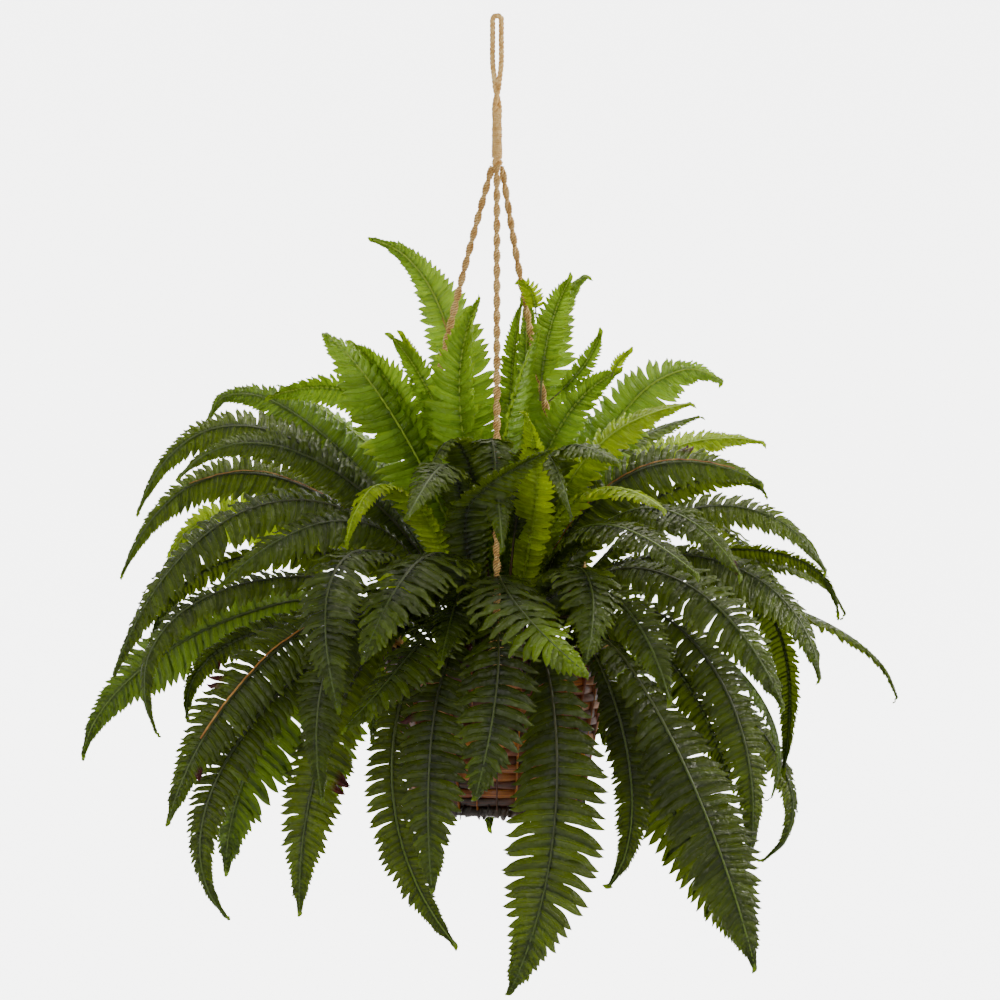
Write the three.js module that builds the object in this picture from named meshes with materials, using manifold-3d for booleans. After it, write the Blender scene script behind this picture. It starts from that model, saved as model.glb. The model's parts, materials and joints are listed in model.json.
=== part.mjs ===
// Boston fern in a woven basket that hangs from a loop of jute rope.
// Units: mm. The origin is the top of the loop's opening, where a hook carries it; +Z is up, -Y is the front.
import * as THREE from "three";
import Module from "manifold-3d";

const wasm = await Module();
wasm.setup();

// ---- Driving dimensions ----------------------------------------------------------------------------------

const GAP = 0.4; // clear space between neighbouring pieces

// Hanging loop, its binding and the knot that gathers the three ropes
const CORD_RADIUS = 3;
const LEG_OFFSET = 6.3; // half the distance between the loop's legs
const TWIST_OFFSET = 3.35; // the same where the legs twist round each other
const TWIST_TOP_Z = -70;
const TWIST_BOTTOM_Z = -106;
const BINDING_RADIUS = 5;
const BINDING_TOP_Z = -107.4;
const BINDING_BOTTOM_Z = -160.6;
const BINDING_TURNS = 7;
const GATHER_RADIUS = 6.8;
const GATHER_HEIGHT = 10;

// Ropes
// [name, azimuth of its rim knot, point that the leaves push it towards]
const ROPES = [
  ["front", -90, [0, -66, -446]],
  ["right", 18, [50, 20, -460]],
  ["left", 156, [-99, 28, -496]],
];
const ROPE_RADIUS = 4.5;
const ROPE_START_RADIUS = 6;
const ROPE_START_Z = -170.3;
const ROPE_STEP = 15; // one sixth of a turn of the braid

// Basket
const RIM_Z = -727; // top of the rim hoop
const RIM_HEIGHT = 16;
const RIM_WIDTH = 13;
const RIM_RADIUS = 126; // to the middle of the hoop
const BASKET_BOTTOM_Z = -908;
const BASE_RADIUS = 96;
const WALL = 5;
const WEAVE_COLUMNS = 28;
const WEAVE_ROWS = 8;
const WEAVE_DEPTH = 1.5;
const FOOT_HEIGHT = 12;
const FOOT_WIDTH = 11;
const HOOP_STEPS = 24;
const NOTCH_WIDTH = 16;
const NOTCH_DEPTH = 11;

// Pot inside the basket and the soil in it
const POT_TOP_Z = -746;
const POT_TOP_RADIUS = 112;
const POT_BASE_RADIUS = 85;
const POT_WALL = 2;
const POT_SIDES = 20;
const SOIL_CROWN_Z = -733;
const SOIL_CROWN_RADIUS = 98;

// Knots that tie the ropes over the rim
const LASH_THICKNESS = 4.4;
const LASH_WIDTH = 9;
const LASH_SLACK = 2.8; // room that the lashing needs to clear the hoop's edges
const KNOT_RADIUS = 10.5;
const KNOT_HEIGHT = 18;
const TAIL_RADIUS = 3.6;
const TAIL_LENGTH = 42;

// Fronds
const RING_RADII = [15, 34, 54, 74, 91]; // rings of roots, the inner one first
const STUB = 22; // depth of a stem in the soil
const STEM_LEAN = 0.16; // outward lean of a stem, as a part of its reach
const RIB_WIDTH = 3;
const RIB_DEPTH = 2.2;
const BLADE = 0.8; // thickness at a leaflet's tip
const DROOP = 0.24; // fall of a leaflet's tip for each mm of its length
const FORWARD = 0.16; // lean of a leaflet towards the frond's tip
const LEAFLET_PITCH = 53;
const PITCH_TAPER = 1.25; // how much closer the leaflets stand towards the tip
const STEM_HOLE_RADIUS = 3.12; // to the corners of the square hole
const CLEARANCE = 0.6; // least gap between two fronds
const TRIES = 600;

// Runners
const RUNNER_RADIUS = 1.1;
const RUNNER_LIFT = 4.6; // height over the frond that it lies on
const RUNNER_ROOT_SHIFT = 8;
const RUNNER_HOLE_RADIUS = 2.8;
const RUNNER_STEP = 26;
const RUNNER_BENDS = 9;
const RUNNER_TRIES = 300;

// Colour and surface of each kind of piece
const FINISHES = {
  jute: [0xb08a58, 0.95],
  cane: [0x6b3a18, 0.45],
  cane_dark: [0x3a1f10, 0.5],
  pot: [0x1d1c1a, 0.6],
  soil: [0x3a2c1c, 1],
  dark: [0x3f5f1c, 0.45],
  fresh: [0x6b8f24, 0.45],
  young: [0x8aa637, 0.45],
  lime: [0xa4c23c, 0.45],
  runner: [0xa8702c, 0.7],
};

// Clumps: one root each, with one or two fronds of a colour. In the order in which they find their place.
// [name, colour, ring, azimuth of the root, fronds], and each frond is
// [point half way, tip, rise of the stem, width of the blade, roll towards the front in degrees]
const CLUMPS = [
  ["hero", "dark", 3, -68, [[[12, -205, -659], [95, -290, -726], 145, 104, 5]]],
  ["front_left", "dark", 3, -112, [
    [[-85, -180, -620], [-140, -270, -720], 150, 104, -5],
    [[-38, -135, -565], [50, -175, -500], 170, 64, 0],
  ]],
  ["front_long", "dark", 5, -72, [[[64, -178, -891], [14, -170, -1090], 120, 108, 0]]],
  ["up_left", "young", 1, 178, [
    [[-70, 75, -321], [-147, 95, -246], 170, 80, -75],
    [[-140, -30, -424], [-192, -40, -360], 150, 104, -60],
  ]],
  ["up_front", "young", 1, -75, [
    [[-45, -45, -435], [-22, -40, -330], 170, 100, 0],
    [[10, -40, -485], [48, -60, -365], 150, 66, 10],
  ]],
  ["up_right", "young", 1, 60, [
    [[64, 95, -347], [107, 110, -288], 180, 92, 25],
    [[25, 40, -460], [30, 70, -315], 180, 66, 0],
  ]],
  ["right_high", "young", 2, 24, [[[193, 60, -418], [276, 70, -404], 170, 78, 60]]],
  ["right_lime", "lime", 2, 2, [
    [[120, 0, -495], [225, -10, -440], 150, 60, 50],
    [[202, 85, -491], [307, 100, -495], 150, 60, 40],
  ]],
  ["right_broad", "dark", 2, -20, [
    [[179, -45, -514], [298, -60, -534], 150, 76, 55],
    [[60, -60, -505], [135, -150, -515], 140, 76, 10],
  ]],
  ["middle_lime", "lime", 2, -48, [
    [[55, -80, -530], [60, -140, -440], 150, 56, 0],
    [[80, -110, -560], [145, -230, -575], 140, 54, 10],
  ]],
  ["left_top", "fresh", 2, 166, [[[-273, 30, -434], [-337, 40, -464], 170, 60, -70]]],
  ["left_high", "dark", 2, 190, [
    [[-305, 0, -465], [-409, 0, -564], 160, 60, -60],
    [[-266, -50, -497], [-350, -65, -527], 150, 56, -60],
  ]],
  ["left_small", "lime", 2, -155, [[[-125, -90, -535], [-165, -150, -600], 140, 54, 0]]],
  ["left_out", "dark", 3, 181, [
    [[-333, 55, -527], [-441, 70, -641], 160, 64, -60],
    [[-291, -75, -581], [-439, -70, -756], 230, 88, -30],
  ]],
  ["left_lime", "lime", 3, 160, [[[-339, 110, -577], [-394, 130, -650], 150, 74, -70]]],
  ["right_out", "dark", 3, 0, [
    [[281, -65, -563], [370, -70, -634], 150, 62, 40],
    [[337, 20, -630], [405, 40, -687], 150, 60, 10],
  ]],
  ["right_far", "dark", 3, 18, [
    [[396, 70, -703], [471, 80, -787], 150, 66, 0],
    [[145, 90, -500], [260, 150, -460], 150, 58, 10],
  ]],
  ["right_near", "fresh", 3, -45, [
    [[185, -160, -565], [260, -230, -635], 140, 74, 20],
    [[135, -190, -575], [215, -290, -625], 140, 62, 20],
  ]],
  ["right_arc", "dark", 3, -24, [
    [[290, -100, -643], [360, -110, -755], 170, 78, 40],
    [[240, -150, -664], [313, -190, -775], 150, 82, 30],
  ]],
  ["left_near", "dark", 3, -138, [
    [[-135, -190, -630], [-160, -260, -770], 140, 78, 0],
    [[-70, -100, -530], [-100, -200, -560], 140, 58, -10],
  ]],
  ["left_low", "fresh", 4, 184, [
    [[-404, 20, -744], [-479, 20, -849], 150, 80, -70],
    [[-264, -75, -824], [-304, -80, -971], 120, 98, -50],
  ]],
  ["left_big", "dark", 4, 205, [
    [[-283, -165, -761], [-354, -200, -900], 140, 80, -45],
    [[-309, -180, -869], [-293, -190, -1005], 130, 60, -35],
  ]],
  ["left_chain", "dark", 4, 224, [
    [[-359, -125, -687], [-375, -140, -810], 150, 56, -30],
    [[-190, -130, -720], [-220, -170, -895], 120, 68, -35],
    [[-190, -95, -585], [-310, -120, -640], 150, 78, -30],
  ]],
  ["front_right", "dark", 4, -58, [
    [[100, -190, -640], [95, -240, -725], 130, 80, 0],
    [[140, -200, -665], [155, -270, -760], 130, 54, 40],
  ]],
  ["front_sweep", "dark", 4, -106, [
    [[-80, -190, -705], [-160, -260, -795], 120, 90, 0],
    [[-40, -150, -655], [-55, -230, -735], 130, 48, 0],
  ]],
  ["right_fold", "dark", 4, -10, [
    [[257, -110, -771], [279, -110, -960], 150, 62, 50],
    [[329, -15, -863], [304, -10, -968], 130, 48, 45],
  ]],
  ["right_long", "fresh", 5, -38, [
    [[226, -135, -873], [293, -140, -1057], 120, 98, 58],
    [[144, -100, -888], [122, -100, -991], 110, 52, 40],
  ]],
  ["front_hang", "dark", 5, -98, [
    [[5, -190, -725], [-20, -215, -875], 100, 90, 0],
    [[-65, -170, -770], [-70, -190, -975], 110, 84, -15],
  ]],
  ["left_hang", "fresh", 5, -124, [[[-118, -104, -901], [-84, -106, -1030], 110, 66, -30]]],
  ["left_down", "dark", 5, 213, [[[-203, -95, -844], [-220, -100, -1010], 110, 74, -55]]],
  ["right_drop", "fresh", 5, -14, [[[300, -60, -780], [310, -60, -890], 120, 48, 0]]],
];

// Fronds at the back, by a rule: tiers that take turns round the rear half
const BACK_COUNT = 11;
const BACK_FIRST = 34;
const BACK_LAST = 150;
const BACK_TIERS = [
  { ring: 3, middle: [255, -560], tip: [450, -700], rise: 150, width: 84, colour: "dark" },
  { ring: 5, middle: [220, -735], tip: [290, -965], rise: 120, width: 92, colour: "fresh" },
  { ring: 2, middle: [165, -485], tip: [295, -430], rise: 160, width: 76, colour: "young" },
  { ring: 4, middle: [262, -640], tip: [375, -860], rise: 140, width: 86, colour: "dark" },
];

// Runners: the frond that each lies on, and the part of that frond's length that it reaches
const RUNNERS = new Map([["left_big", 0.8], ["right_broad", 0.92], ["left_out", 0.75], ["up_left", 0.75]]);

// ---- Small tools -----------------------------------------------------------------------------------------

const UP = new THREE.Vector3(0, 0, 1);

function radians(degrees) {
  return THREE.MathUtils.degToRad(degrees);
}

function polar(radius, degrees, z) {
  const angle = radians(degrees);
  return new THREE.Vector3(radius * Math.cos(angle), radius * Math.sin(angle), z);
}

// Repeatable random draws between -1 and 1
function dice(seed) {
  let state = seed;
  return () => {
    state = (Math.imul(state, 1664525) + 1013904223) >>> 0;
    return (state / 4294967296) * 2 - 1;
  };
}

// A solid from points and triangles, turned the right way out
function solid(points, faces) {
  const vertProperties = new Float32Array(points.flatMap((p) => [p.x, p.y, p.z]));
  const triVerts = new Uint32Array(faces.flat());
  const made = new wasm.Manifold(new wasm.Mesh({ numProp: 3, vertProperties, triVerts }));
  if (made.volume() > 0) return made;
  const turned = faces.map(([a, b, c]) => [a, c, b]);
  return new wasm.Manifold(new wasm.Mesh({ numProp: 3, vertProperties, triVerts: new Uint32Array(turned.flat()) }));
}

// A solid through rings of points; `closed` joins the last ring to the first, else both ends are capped.
function loft(rings, closed = false) {
  const sides = rings[0].length;
  const points = rings.flat();
  const faces = [];
  const spans = closed ? rings.length : rings.length - 1;
  for (let i = 0; i < spans; i += 1) {
    const next = (i + 1) % rings.length;
    for (let k = 0; k < sides; k += 1) {
      const turn = (k + 1) % sides;
      faces.push([i * sides + k, i * sides + turn, next * sides + turn]);
      faces.push([i * sides + k, next * sides + turn, next * sides + k]);
    }
  }
  const last = (rings.length - 1) * sides;
  for (let k = 1; !closed && k < sides - 1; k += 1) {
    faces.push([0, k + 1, k]);
    faces.push([last, last + k, last + k + 1]);
  }
  return solid(points, faces);
}

// A tube along a path with rings at `steps` equal parts; `radiusAt` and `turnAt` give each ring's size and twist.
function tube(path, steps, sides, radiusAt, turnAt = () => 0) {
  const rings = [];
  const normal = new THREE.Vector3(1, 0.3, 0.2);
  for (let i = 0; i <= steps; i += 1) {
    const centre = path.getPoint(i / steps);
    const tangent = path.getTangent(i / steps);
    normal.addScaledVector(tangent, -normal.dot(tangent)).normalize();
    const ring = [];
    for (let k = 0; k < sides; k += 1) {
      const spoke = normal.clone().applyAxisAngle(tangent, (2 * Math.PI * k) / sides + turnAt(i));
      ring.push(centre.clone().addScaledVector(spoke, radiusAt(i)));
    }
    rings.push(ring);
  }
  return loft(rings);
}

// A ring of points round the Z axis
function circle(radius, z, sides) {
  return Array.from({ length: sides }, (_, k) => polar(radius, (360 * k) / sides, z));
}

// A hoop round the Z axis with the outline of [radius, z] points
function hoop(outline, steps) {
  const rings = [];
  for (let i = 0; i < steps; i += 1) {
    rings.push(outline.map(([radius, z]) => polar(radius, (360 * i) / steps, z)));
  }
  return loft(rings, true);
}

// A lumpy ball: an icosahedron's points pushed in and out
function ball(centre, radii, seed, roughness) {
  const roll = dice(seed);
  const shape = new THREE.IcosahedronGeometry(1, 1).getAttribute("position");
  const points = [];
  const faces = [];
  const known = new Map();
  for (let i = 0; i < shape.count; i += 1) {
    const point = new THREE.Vector3().fromBufferAttribute(shape, i);
    const key = point.toArray().map((v) => v.toFixed(3)).join();
    if (!known.has(key)) {
      known.set(key, points.length);
      points.push(point.multiplyScalar(1 - roughness * Math.abs(roll())).multiply(radii).add(centre));
    }
    if (i % 3 === 0) faces.push([]);
    faces[faces.length - 1].push(known.get(key));
  }
  return solid(points, faces);
}

const part = new THREE.Group();
part.name = "boston_fern_in_basket";

function addNode(name, finish, body) {
  const mesh = body.getMesh();
  const geometry = new THREE.BufferGeometry();
  geometry.setAttribute("position", new THREE.BufferAttribute(new Float32Array(mesh.vertProperties), 3));
  geometry.setIndex(new THREE.BufferAttribute(new Uint32Array(mesh.triVerts), 1));
  const [color, roughness] = FINISHES[finish];
  const node = new THREE.Mesh(geometry, new THREE.MeshStandardMaterial({ color, roughness, metalness: 0 }));
  node.name = name;
  part.add(node);
}

// ---- Ropes -----------------------------------------------------------------------------------------------

// The loop: one cord that goes up one leg, over the hook and down the other, with half a twist below
function hangLoop() {
  const route = [];
  const twistSteps = 4;
  const twistAt = (i, start) => {
    const angle = start + (180 * i) / twistSteps;
    const z = TWIST_BOTTOM_Z + ((TWIST_TOP_Z - TWIST_BOTTOM_Z) * i) / twistSteps;
    return polar(TWIST_OFFSET, angle, z);
  };
  for (let i = 0; i <= twistSteps; i += 1) route.push(twistAt(i, 180));
  route.push(new THREE.Vector3(LEG_OFFSET, 0, -50), new THREE.Vector3(LEG_OFFSET, 0, -24));
  const topZ = CORD_RADIUS - LEG_OFFSET;
  for (let angle = 0; angle <= 180; angle += 45) {
    const x = LEG_OFFSET * Math.cos(radians(angle));
    route.push(new THREE.Vector3(x, 0, topZ + LEG_OFFSET * Math.sin(radians(angle))));
  }
  route.push(new THREE.Vector3(-LEG_OFFSET, 0, -24), new THREE.Vector3(-LEG_OFFSET, 0, -50));
  for (let i = twistSteps; i >= 0; i -= 1) route.push(twistAt(i, 0));
  return tube(new THREE.CatmullRomCurve3(route), route.length - 1, 6, () => CORD_RADIUS);
}

// The binding: turns of cord wound tight round the loop's legs
function binding() {
  const rings = [];
  for (let i = 0; i <= 2 * BINDING_TURNS; i += 1) {
    const z = BINDING_TOP_Z + ((BINDING_BOTTOM_Z - BINDING_TOP_Z) * i) / (2 * BINDING_TURNS);
    rings.push(circle(i % 2 ? BINDING_RADIUS : BINDING_RADIUS * 0.84, z, 8));
  }
  return loft(rings);
}

function gatheringKnot() {
  const centre = new THREE.Vector3(0, 0, BINDING_BOTTOM_Z - GAP - GATHER_HEIGHT / 2);
  return ball(centre, new THREE.Vector3(GATHER_RADIUS, GATHER_RADIUS, GATHER_HEIGHT / 2), 5, 0.05);
}

function knotCentre(azimuth) {
  return polar(RIM_RADIUS + 5, azimuth, RIM_Z + GAP + KNOT_HEIGHT / 2);
}

// A rope of the sling: three strands that wind round each other from the gathering knot to the rim
function rope(azimuth, push) {
  const start = polar(ROPE_START_RADIUS, azimuth, ROPE_START_Z);
  const knot = knotCentre(azimuth);
  const way = knot.clone().sub(push).normalize();
  const end = knot.clone().addScaledVector(way, -KNOT_HEIGHT / 2);
  const route = new THREE.QuadraticBezierCurve3(start, push, end);
  const steps = Math.round(route.getLength() / ROPE_STEP);
  return tube(route, steps, 3, () => ROPE_RADIUS, (i) => (-i * Math.PI) / 3);
}

// A rim knot: a turn of rope lashed round the rim hoop, the knot on top of it and the loose end outside
function rimKnot(azimuth, seed) {
  const outward = polar(1, azimuth, 0);
  const along = polar(1, azimuth + 90, 0);
  const middle = polar(RIM_RADIUS, azimuth, RIM_Z - RIM_HEIGHT / 2);
  const rings = [];
  const turns = 10;
  for (let i = 0; i < turns; i += 1) {
    const angle = (2 * Math.PI * i) / turns;
    const spread = outward.clone().multiplyScalar(Math.cos(angle)).addScaledVector(UP, Math.sin(angle));
    const ring = [];
    for (const [out, side] of [[0, -0.5], [1, -0.5], [1, 0.5], [0, 0.5]]) {
      const across = RIM_WIDTH / 2 + LASH_SLACK + out * LASH_THICKNESS;
      const high = RIM_HEIGHT / 2 + LASH_SLACK + out * LASH_THICKNESS;
      const point = middle.clone().addScaledVector(outward, across * spread.dot(outward));
      ring.push(point.addScaledVector(UP, high * spread.z).addScaledVector(along, side * LASH_WIDTH));
    }
    rings.push(ring);
  }
  const radii = new THREE.Vector3(KNOT_RADIUS, KNOT_RADIUS, KNOT_HEIGHT / 2);
  const knot = ball(knotCentre(azimuth), radii, seed, 0.06);
  const tailTop = polar(RIM_RADIUS + RIM_WIDTH / 2 + 5, azimuth, RIM_Z - RIM_HEIGHT / 2);
  const tailEnd = tailTop.clone().addScaledVector(UP, -TAIL_LENGTH).addScaledVector(along, 4);
  const tail = tube(new THREE.LineCurve3(tailTop, tailEnd), 3, 5, (i) => TAIL_RADIUS * (1 - 0.12 * i));
  return loft(rings, true).add(knot).add(tail);
}

// ---- Basket ----------------------------------------------------------------------------------------------

const WALL_TOP_Z = RIM_Z - RIM_HEIGHT - GAP;
const WALL_BOTTOM_Z = BASKET_BOTTOM_Z + FOOT_HEIGHT + GAP;

// The wall and floor of the basket; its outer face is woven over and under from stake to stake
function basket() {
  const rings = [];
  for (let row = 0; row <= WEAVE_ROWS; row += 1) {
    const part01 = row / WEAVE_ROWS;
    const radius = BASE_RADIUS + (RIM_RADIUS - BASE_RADIUS) * part01;
    const z = WALL_BOTTOM_Z + (WALL_TOP_Z - WALL_BOTTOM_Z) * part01;
    const ring = [];
    for (let k = 0; k < WEAVE_COLUMNS; k += 1) {
      const wave = (row + k) % 2 ? WEAVE_DEPTH : -WEAVE_DEPTH;
      ring.push(polar(radius + wave, (360 * k) / WEAVE_COLUMNS, z));
    }
    rings.push(ring);
  }
  const inside = loft([
    circle(BASE_RADIUS - WALL - WEAVE_DEPTH, WALL_BOTTOM_Z + WALL, WEAVE_COLUMNS / 2),
    circle(RIM_RADIUS - WALL - WEAVE_DEPTH, WALL_TOP_Z + 1, WEAVE_COLUMNS / 2),
  ]);
  let body = loft(rings).subtract(inside);
  for (const [, azimuth] of ROPES) body = body.subtract(notch(azimuth));
  return body;
}

// The space in the wall's upper edge that a rope's lashing passes through
function notch(azimuth) {
  const along = polar(NOTCH_WIDTH / 2, azimuth + 90, 0);
  const rings = [RIM_RADIUS - 20, RIM_RADIUS + 20].map((radius) => {
    const low = polar(radius, azimuth, WALL_TOP_Z - NOTCH_DEPTH);
    const high = polar(radius, azimuth, WALL_TOP_Z + 2);
    return [low.clone().sub(along), low.clone().add(along), high.clone().add(along), high.clone().sub(along)];
  });
  return loft(rings);
}

function rimHoop() {
  const half = RIM_WIDTH / 2;
  const middle = RIM_Z - RIM_HEIGHT / 2;
  const outline = [
    [RIM_RADIUS - half, middle],
    [RIM_RADIUS - half * 0.6, RIM_Z - RIM_HEIGHT],
    [RIM_RADIUS + half * 0.6, RIM_Z - RIM_HEIGHT],
    [RIM_RADIUS + half, middle],
    [RIM_RADIUS + half * 0.6, RIM_Z],
    [RIM_RADIUS - half * 0.6, RIM_Z],
  ];
  return hoop(outline, HOOP_STEPS);
}

function footHoop() {
  const outer = BASE_RADIUS + 3;
  const top = BASKET_BOTTOM_Z + FOOT_HEIGHT;
  const inner = outer - FOOT_WIDTH;
  return hoop([[inner, top], [inner, BASKET_BOTTOM_Z], [outer, BASKET_BOTTOM_Z], [outer - 1, top]], HOOP_STEPS);
}

const POT_BOTTOM_Z = WALL_BOTTOM_Z + WALL + GAP;

function potRadius(z) {
  const rise = (z - POT_BOTTOM_Z) / (POT_TOP_Z - POT_BOTTOM_Z);
  return POT_BASE_RADIUS + (POT_TOP_RADIUS - POT_BASE_RADIUS) * rise;
}

function pot() {
  const floor = POT_BOTTOM_Z + POT_WALL;
  const outer = [POT_BOTTOM_Z, POT_TOP_Z].map((z) => circle(potRadius(z), z, POT_SIDES));
  const inner = [floor, POT_TOP_Z + 1].map((z) => circle(potRadius(z) - POT_WALL, z, POT_SIDES));
  return loft(outer).subtract(loft(inner));
}

function soil(holes) {
  const bottom = POT_BOTTOM_Z + POT_WALL + GAP;
  const edgeZ = POT_TOP_Z - 1;
  const body = loft([
    circle(potRadius(bottom) - POT_WALL - 2 * GAP, bottom, POT_SIDES),
    circle(potRadius(edgeZ) - POT_WALL - 2 * GAP, edgeZ, POT_SIDES),
    circle(SOIL_CROWN_RADIUS, SOIL_CROWN_Z, POT_SIDES),
  ]);
  return holes.reduce((rest, hole) => rest.subtract(hole), body);
}

// ---- Fronds ----------------------------------------------------------------------------------------------

// How wide the blade is at each part of its length: narrow at the stem, full in the middle, a pointed tip
function bladeShape(t) {
  const rise = Math.min(1, 0.55 + 1.6 * t);
  const fall = THREE.MathUtils.smoothstep(t, 0.52, 1.04);
  return rise * (1 - 0.8 * fall);
}

// The middle line of a frond: up out of the soil, through the point half way, to the tip, with the
// least bend of the curves that do so
function spineOf(root, middle, tip, rise) {
  const lean = middle.clone().sub(root).setZ(0).multiplyScalar(STEM_LEAN);
  const top = root.clone().addScaledVector(UP, rise).add(lean);
  let best = null;
  let least = Infinity;
  for (let t = 0.36; t < 0.74; t += 0.02) {
    const rest = 1 - t;
    const bend = middle.clone().addScaledVector(root, -(rest ** 3)).addScaledVector(top, -3 * rest * rest * t);
    bend.addScaledVector(tip, -(t ** 3)).divideScalar(3 * rest * t * t);
    const run = bend.distanceTo(top) + tip.distanceTo(bend);
    if (run < least) {
      least = run;
      best = bend;
    }
  }
  return new THREE.CubicBezierCurve3(root, top, best, tip);
}

// Where the frond is at part u of its length, with the directions to its left and out of its upper face
function stationAt(spine, u, roll) {
  const at = spine.getPointAt(u);
  const tangent = spine.getTangentAt(u);
  const heading = spine.v3.clone().sub(spine.v0).setZ(0).normalize();
  const side = UP.clone().cross(heading);
  side.addScaledVector(tangent, -side.dot(tangent)).normalize();
  side.applyAxisAngle(tangent, radians(roll) * THREE.MathUtils.smoothstep(u, 0.08, 0.5));
  return { at, tangent, side, up: tangent.clone().cross(side) };
}

// A frond in one skin: a rib of rectangular section whose leaflets are cut to the rib.
// `bare` is the part of its length without leaflets; `stub` adds the stem's foot in the soil.
function frondBody(spine, width, roll, bare, stub) {
  const length = spine.getLength();
  const leafLength = length * (1 - bare);
  const pairs = Math.max(5, Math.round(leafLength / LEAFLET_PITCH));
  const partAt = (i) => 1 - (1 - i / pairs) ** PITCH_TAPER;
  const points = [];
  const faces = [];
  const quad = (a, b, c, d) => faces.push([a, b, c], [a, c, d]);

  // Corners of the rib's section: upper left, upper right, lower right, lower left
  const addStation = (s, slim) => {
    for (const [x, z] of [[1, 1], [-1, 1], [-1, -1], [1, -1]]) {
      const corner = s.at.clone().addScaledVector(s.side, (x * RIB_WIDTH * slim) / 2);
      points.push(corner.addScaledVector(s.up, (z * RIB_DEPTH * slim) / 2));
    }
    return points.length - 4;
  };
  const joinRib = (a, b) => {
    quad(a + 1, b + 1, b, a);
    quad(a + 2, a + 3, b + 3, b + 2);
  };

  let last = null;
  const step = (s, slim) => {
    const next = addStation(s, slim);
    if (last === null) quad(next + 1, next, next + 3, next + 2);
    else {
      joinRib(last, next);
      quad(last + 3, last, next, next + 3);
      quad(last + 2, next + 2, next + 1, last + 1);
    }
    last = next;
  };
  if (stub) {
    const collar = stationAt(spine, 0, roll);
    collar.up = UP.clone().cross(collar.side);
    const foot = { ...collar, at: collar.at.clone().addScaledVector(UP, -STUB) };
    step(foot, 1);
    step(collar, 1);
    const bareSteps = Math.max(2, Math.round((length * bare) / 48));
    for (let i = 1; i < bareSteps; i += 1) step(stationAt(spine, (bare * i) / bareSteps, roll), 1);
  }
  step(stationAt(spine, bare, roll), 1);

  // A leaflet with its tip of one or two corners, between two stations of the rib
  const addLeaflet = (from, to, hand, tips) => {
    const root = hand > 0 ? [[from, from + 3], [to, to + 3]] : [[to + 1, to + 2], [from + 1, from + 2]];
    const ends = tips.map((tip) => {
      points.push(tip.at.clone().addScaledVector(tip.up, BLADE / 2));
      points.push(tip.at.clone().addScaledVector(tip.up, -BLADE / 2));
      return [points.length - 2, points.length - 1];
    });
    const edge = root.concat(hand > 0 ? ends.reverse() : ends);
    for (let k = 1; k < edge.length - 1; k += 1) {
      faces.push([edge[0][0], edge[k][0], edge[k + 1][0]]);
      faces.push([edge[0][1], edge[k + 1][1], edge[k][1]]);
    }
    for (let k = 1; k < edge.length; k += 1) {
      const next = edge[(k + 1) % edge.length];
      quad(next[0], edge[k][0], edge[k][1], next[1]);
    }
  };
  const tipEnd = (t, hand) => {
    const s = stationAt(spine, bare + (1 - bare) * t * 0.985, roll);
    const reach = (width / 2) * bladeShape(t);
    s.at.addScaledVector(s.side, hand * reach).addScaledVector(s.up, -DROOP * reach);
    s.at.addScaledVector(s.tangent, FORWARD * reach);
    return s;
  };
  for (let i = 0; i < pairs; i += 1) {
    const t = partAt(i + 1);
    const slim = 1 - 0.45 * t * t;
    const from = last;
    const to = addStation(stationAt(spine, bare + (1 - bare) * t * 0.985, roll), slim);
    joinRib(from, to);
    for (const hand of [1, -1]) {
      const ends = i < pairs - 1 ? [0.08, 0.88] : [0.5];
      addLeaflet(from, to, hand, ends.map((share) => tipEnd(partAt(i + share), hand)));
    }
    last = to;
  }
  const end = stationAt(spine, 1, roll);
  points.push(end.at.clone().addScaledVector(end.up, BLADE / 2));
  points.push(end.at.clone().addScaledVector(end.up, -BLADE / 2));
  const apex = points.length - 2;
  faces.push([last + 1, apex, last], [last + 2, last + 3, apex + 1]);
  quad(last + 3, last, apex, apex + 1);
  quad(last + 2, apex + 1, apex, last + 1);
  return solid(points, faces);
}

// The hole in the soil round a stem, with the stem's foot at its lower end
function stemHole(foot, radius) {
  const ends = [foot.clone().addScaledVector(UP, -2), foot.clone().addScaledVector(UP, 2 * STUB)];
  return tube(new THREE.LineCurve3(...ends), 1, 4, () => radius);
}

function boxesMeet(a, b) {
  return [0, 1, 2].every((k) => a.min[k] < b.max[k] + CLEARANCE && b.min[k] < a.max[k] + CLEARANCE);
}

function isClear(body, box, others) {
  return others.every((other) => !boxesMeet(box, other.box) || body.minGap(other.body, 1) >= CLEARANCE);
}

const obstacles = [];
const stemHoles = [];
const spines = new Map();

function addObstacle(body) {
  obstacles.push({ body, box: body.boundingBox() });
}

// Bends a frond, a little further with each try, until it is clear of all that is already there
function findPlace(root, frond, seed, own) {
  const [middle, tip, rise, width, roll] = frond;
  const random = dice(seed);
  for (let k = 0; k < TRIES; k += 1) {
    const loose = (1.6 * k) / TRIES;
    const swing = random() * 12 * loose;
    const shift = (reach) => new THREE.Vector3(random(), random(), random()).multiplyScalar(reach * loose);
    const turn = (point) => point.clone().applyAxisAngle(UP, radians(swing));
    const lift = rise * (1 + 0.2 * loose * random());
    const spine = spineOf(root, turn(middle).add(shift(26)), turn(tip).add(shift(30)), lift);
    const bare = 0.22 + 0.22 * Math.min(1, 2 * loose) * Math.abs(random());
    const slim = width * (1 - 0.14 * loose * Math.abs(random()));
    const turned = roll + 30 * loose * random();
    const leafy = frondBody(spine, slim, turned, bare, false);
    const box = leafy.boundingBox();
    if (!isClear(leafy, box, obstacles) || !isClear(leafy, box, own)) continue;
    const body = frondBody(spine, slim, turned, bare, true);
    if (isClear(body, body.boundingBox(), obstacles)) return { body, leafy, box, spine, roll: turned };
  }
  throw new Error(`no room for a frond with its tip at ${tip.toArray()}`);
}

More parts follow.
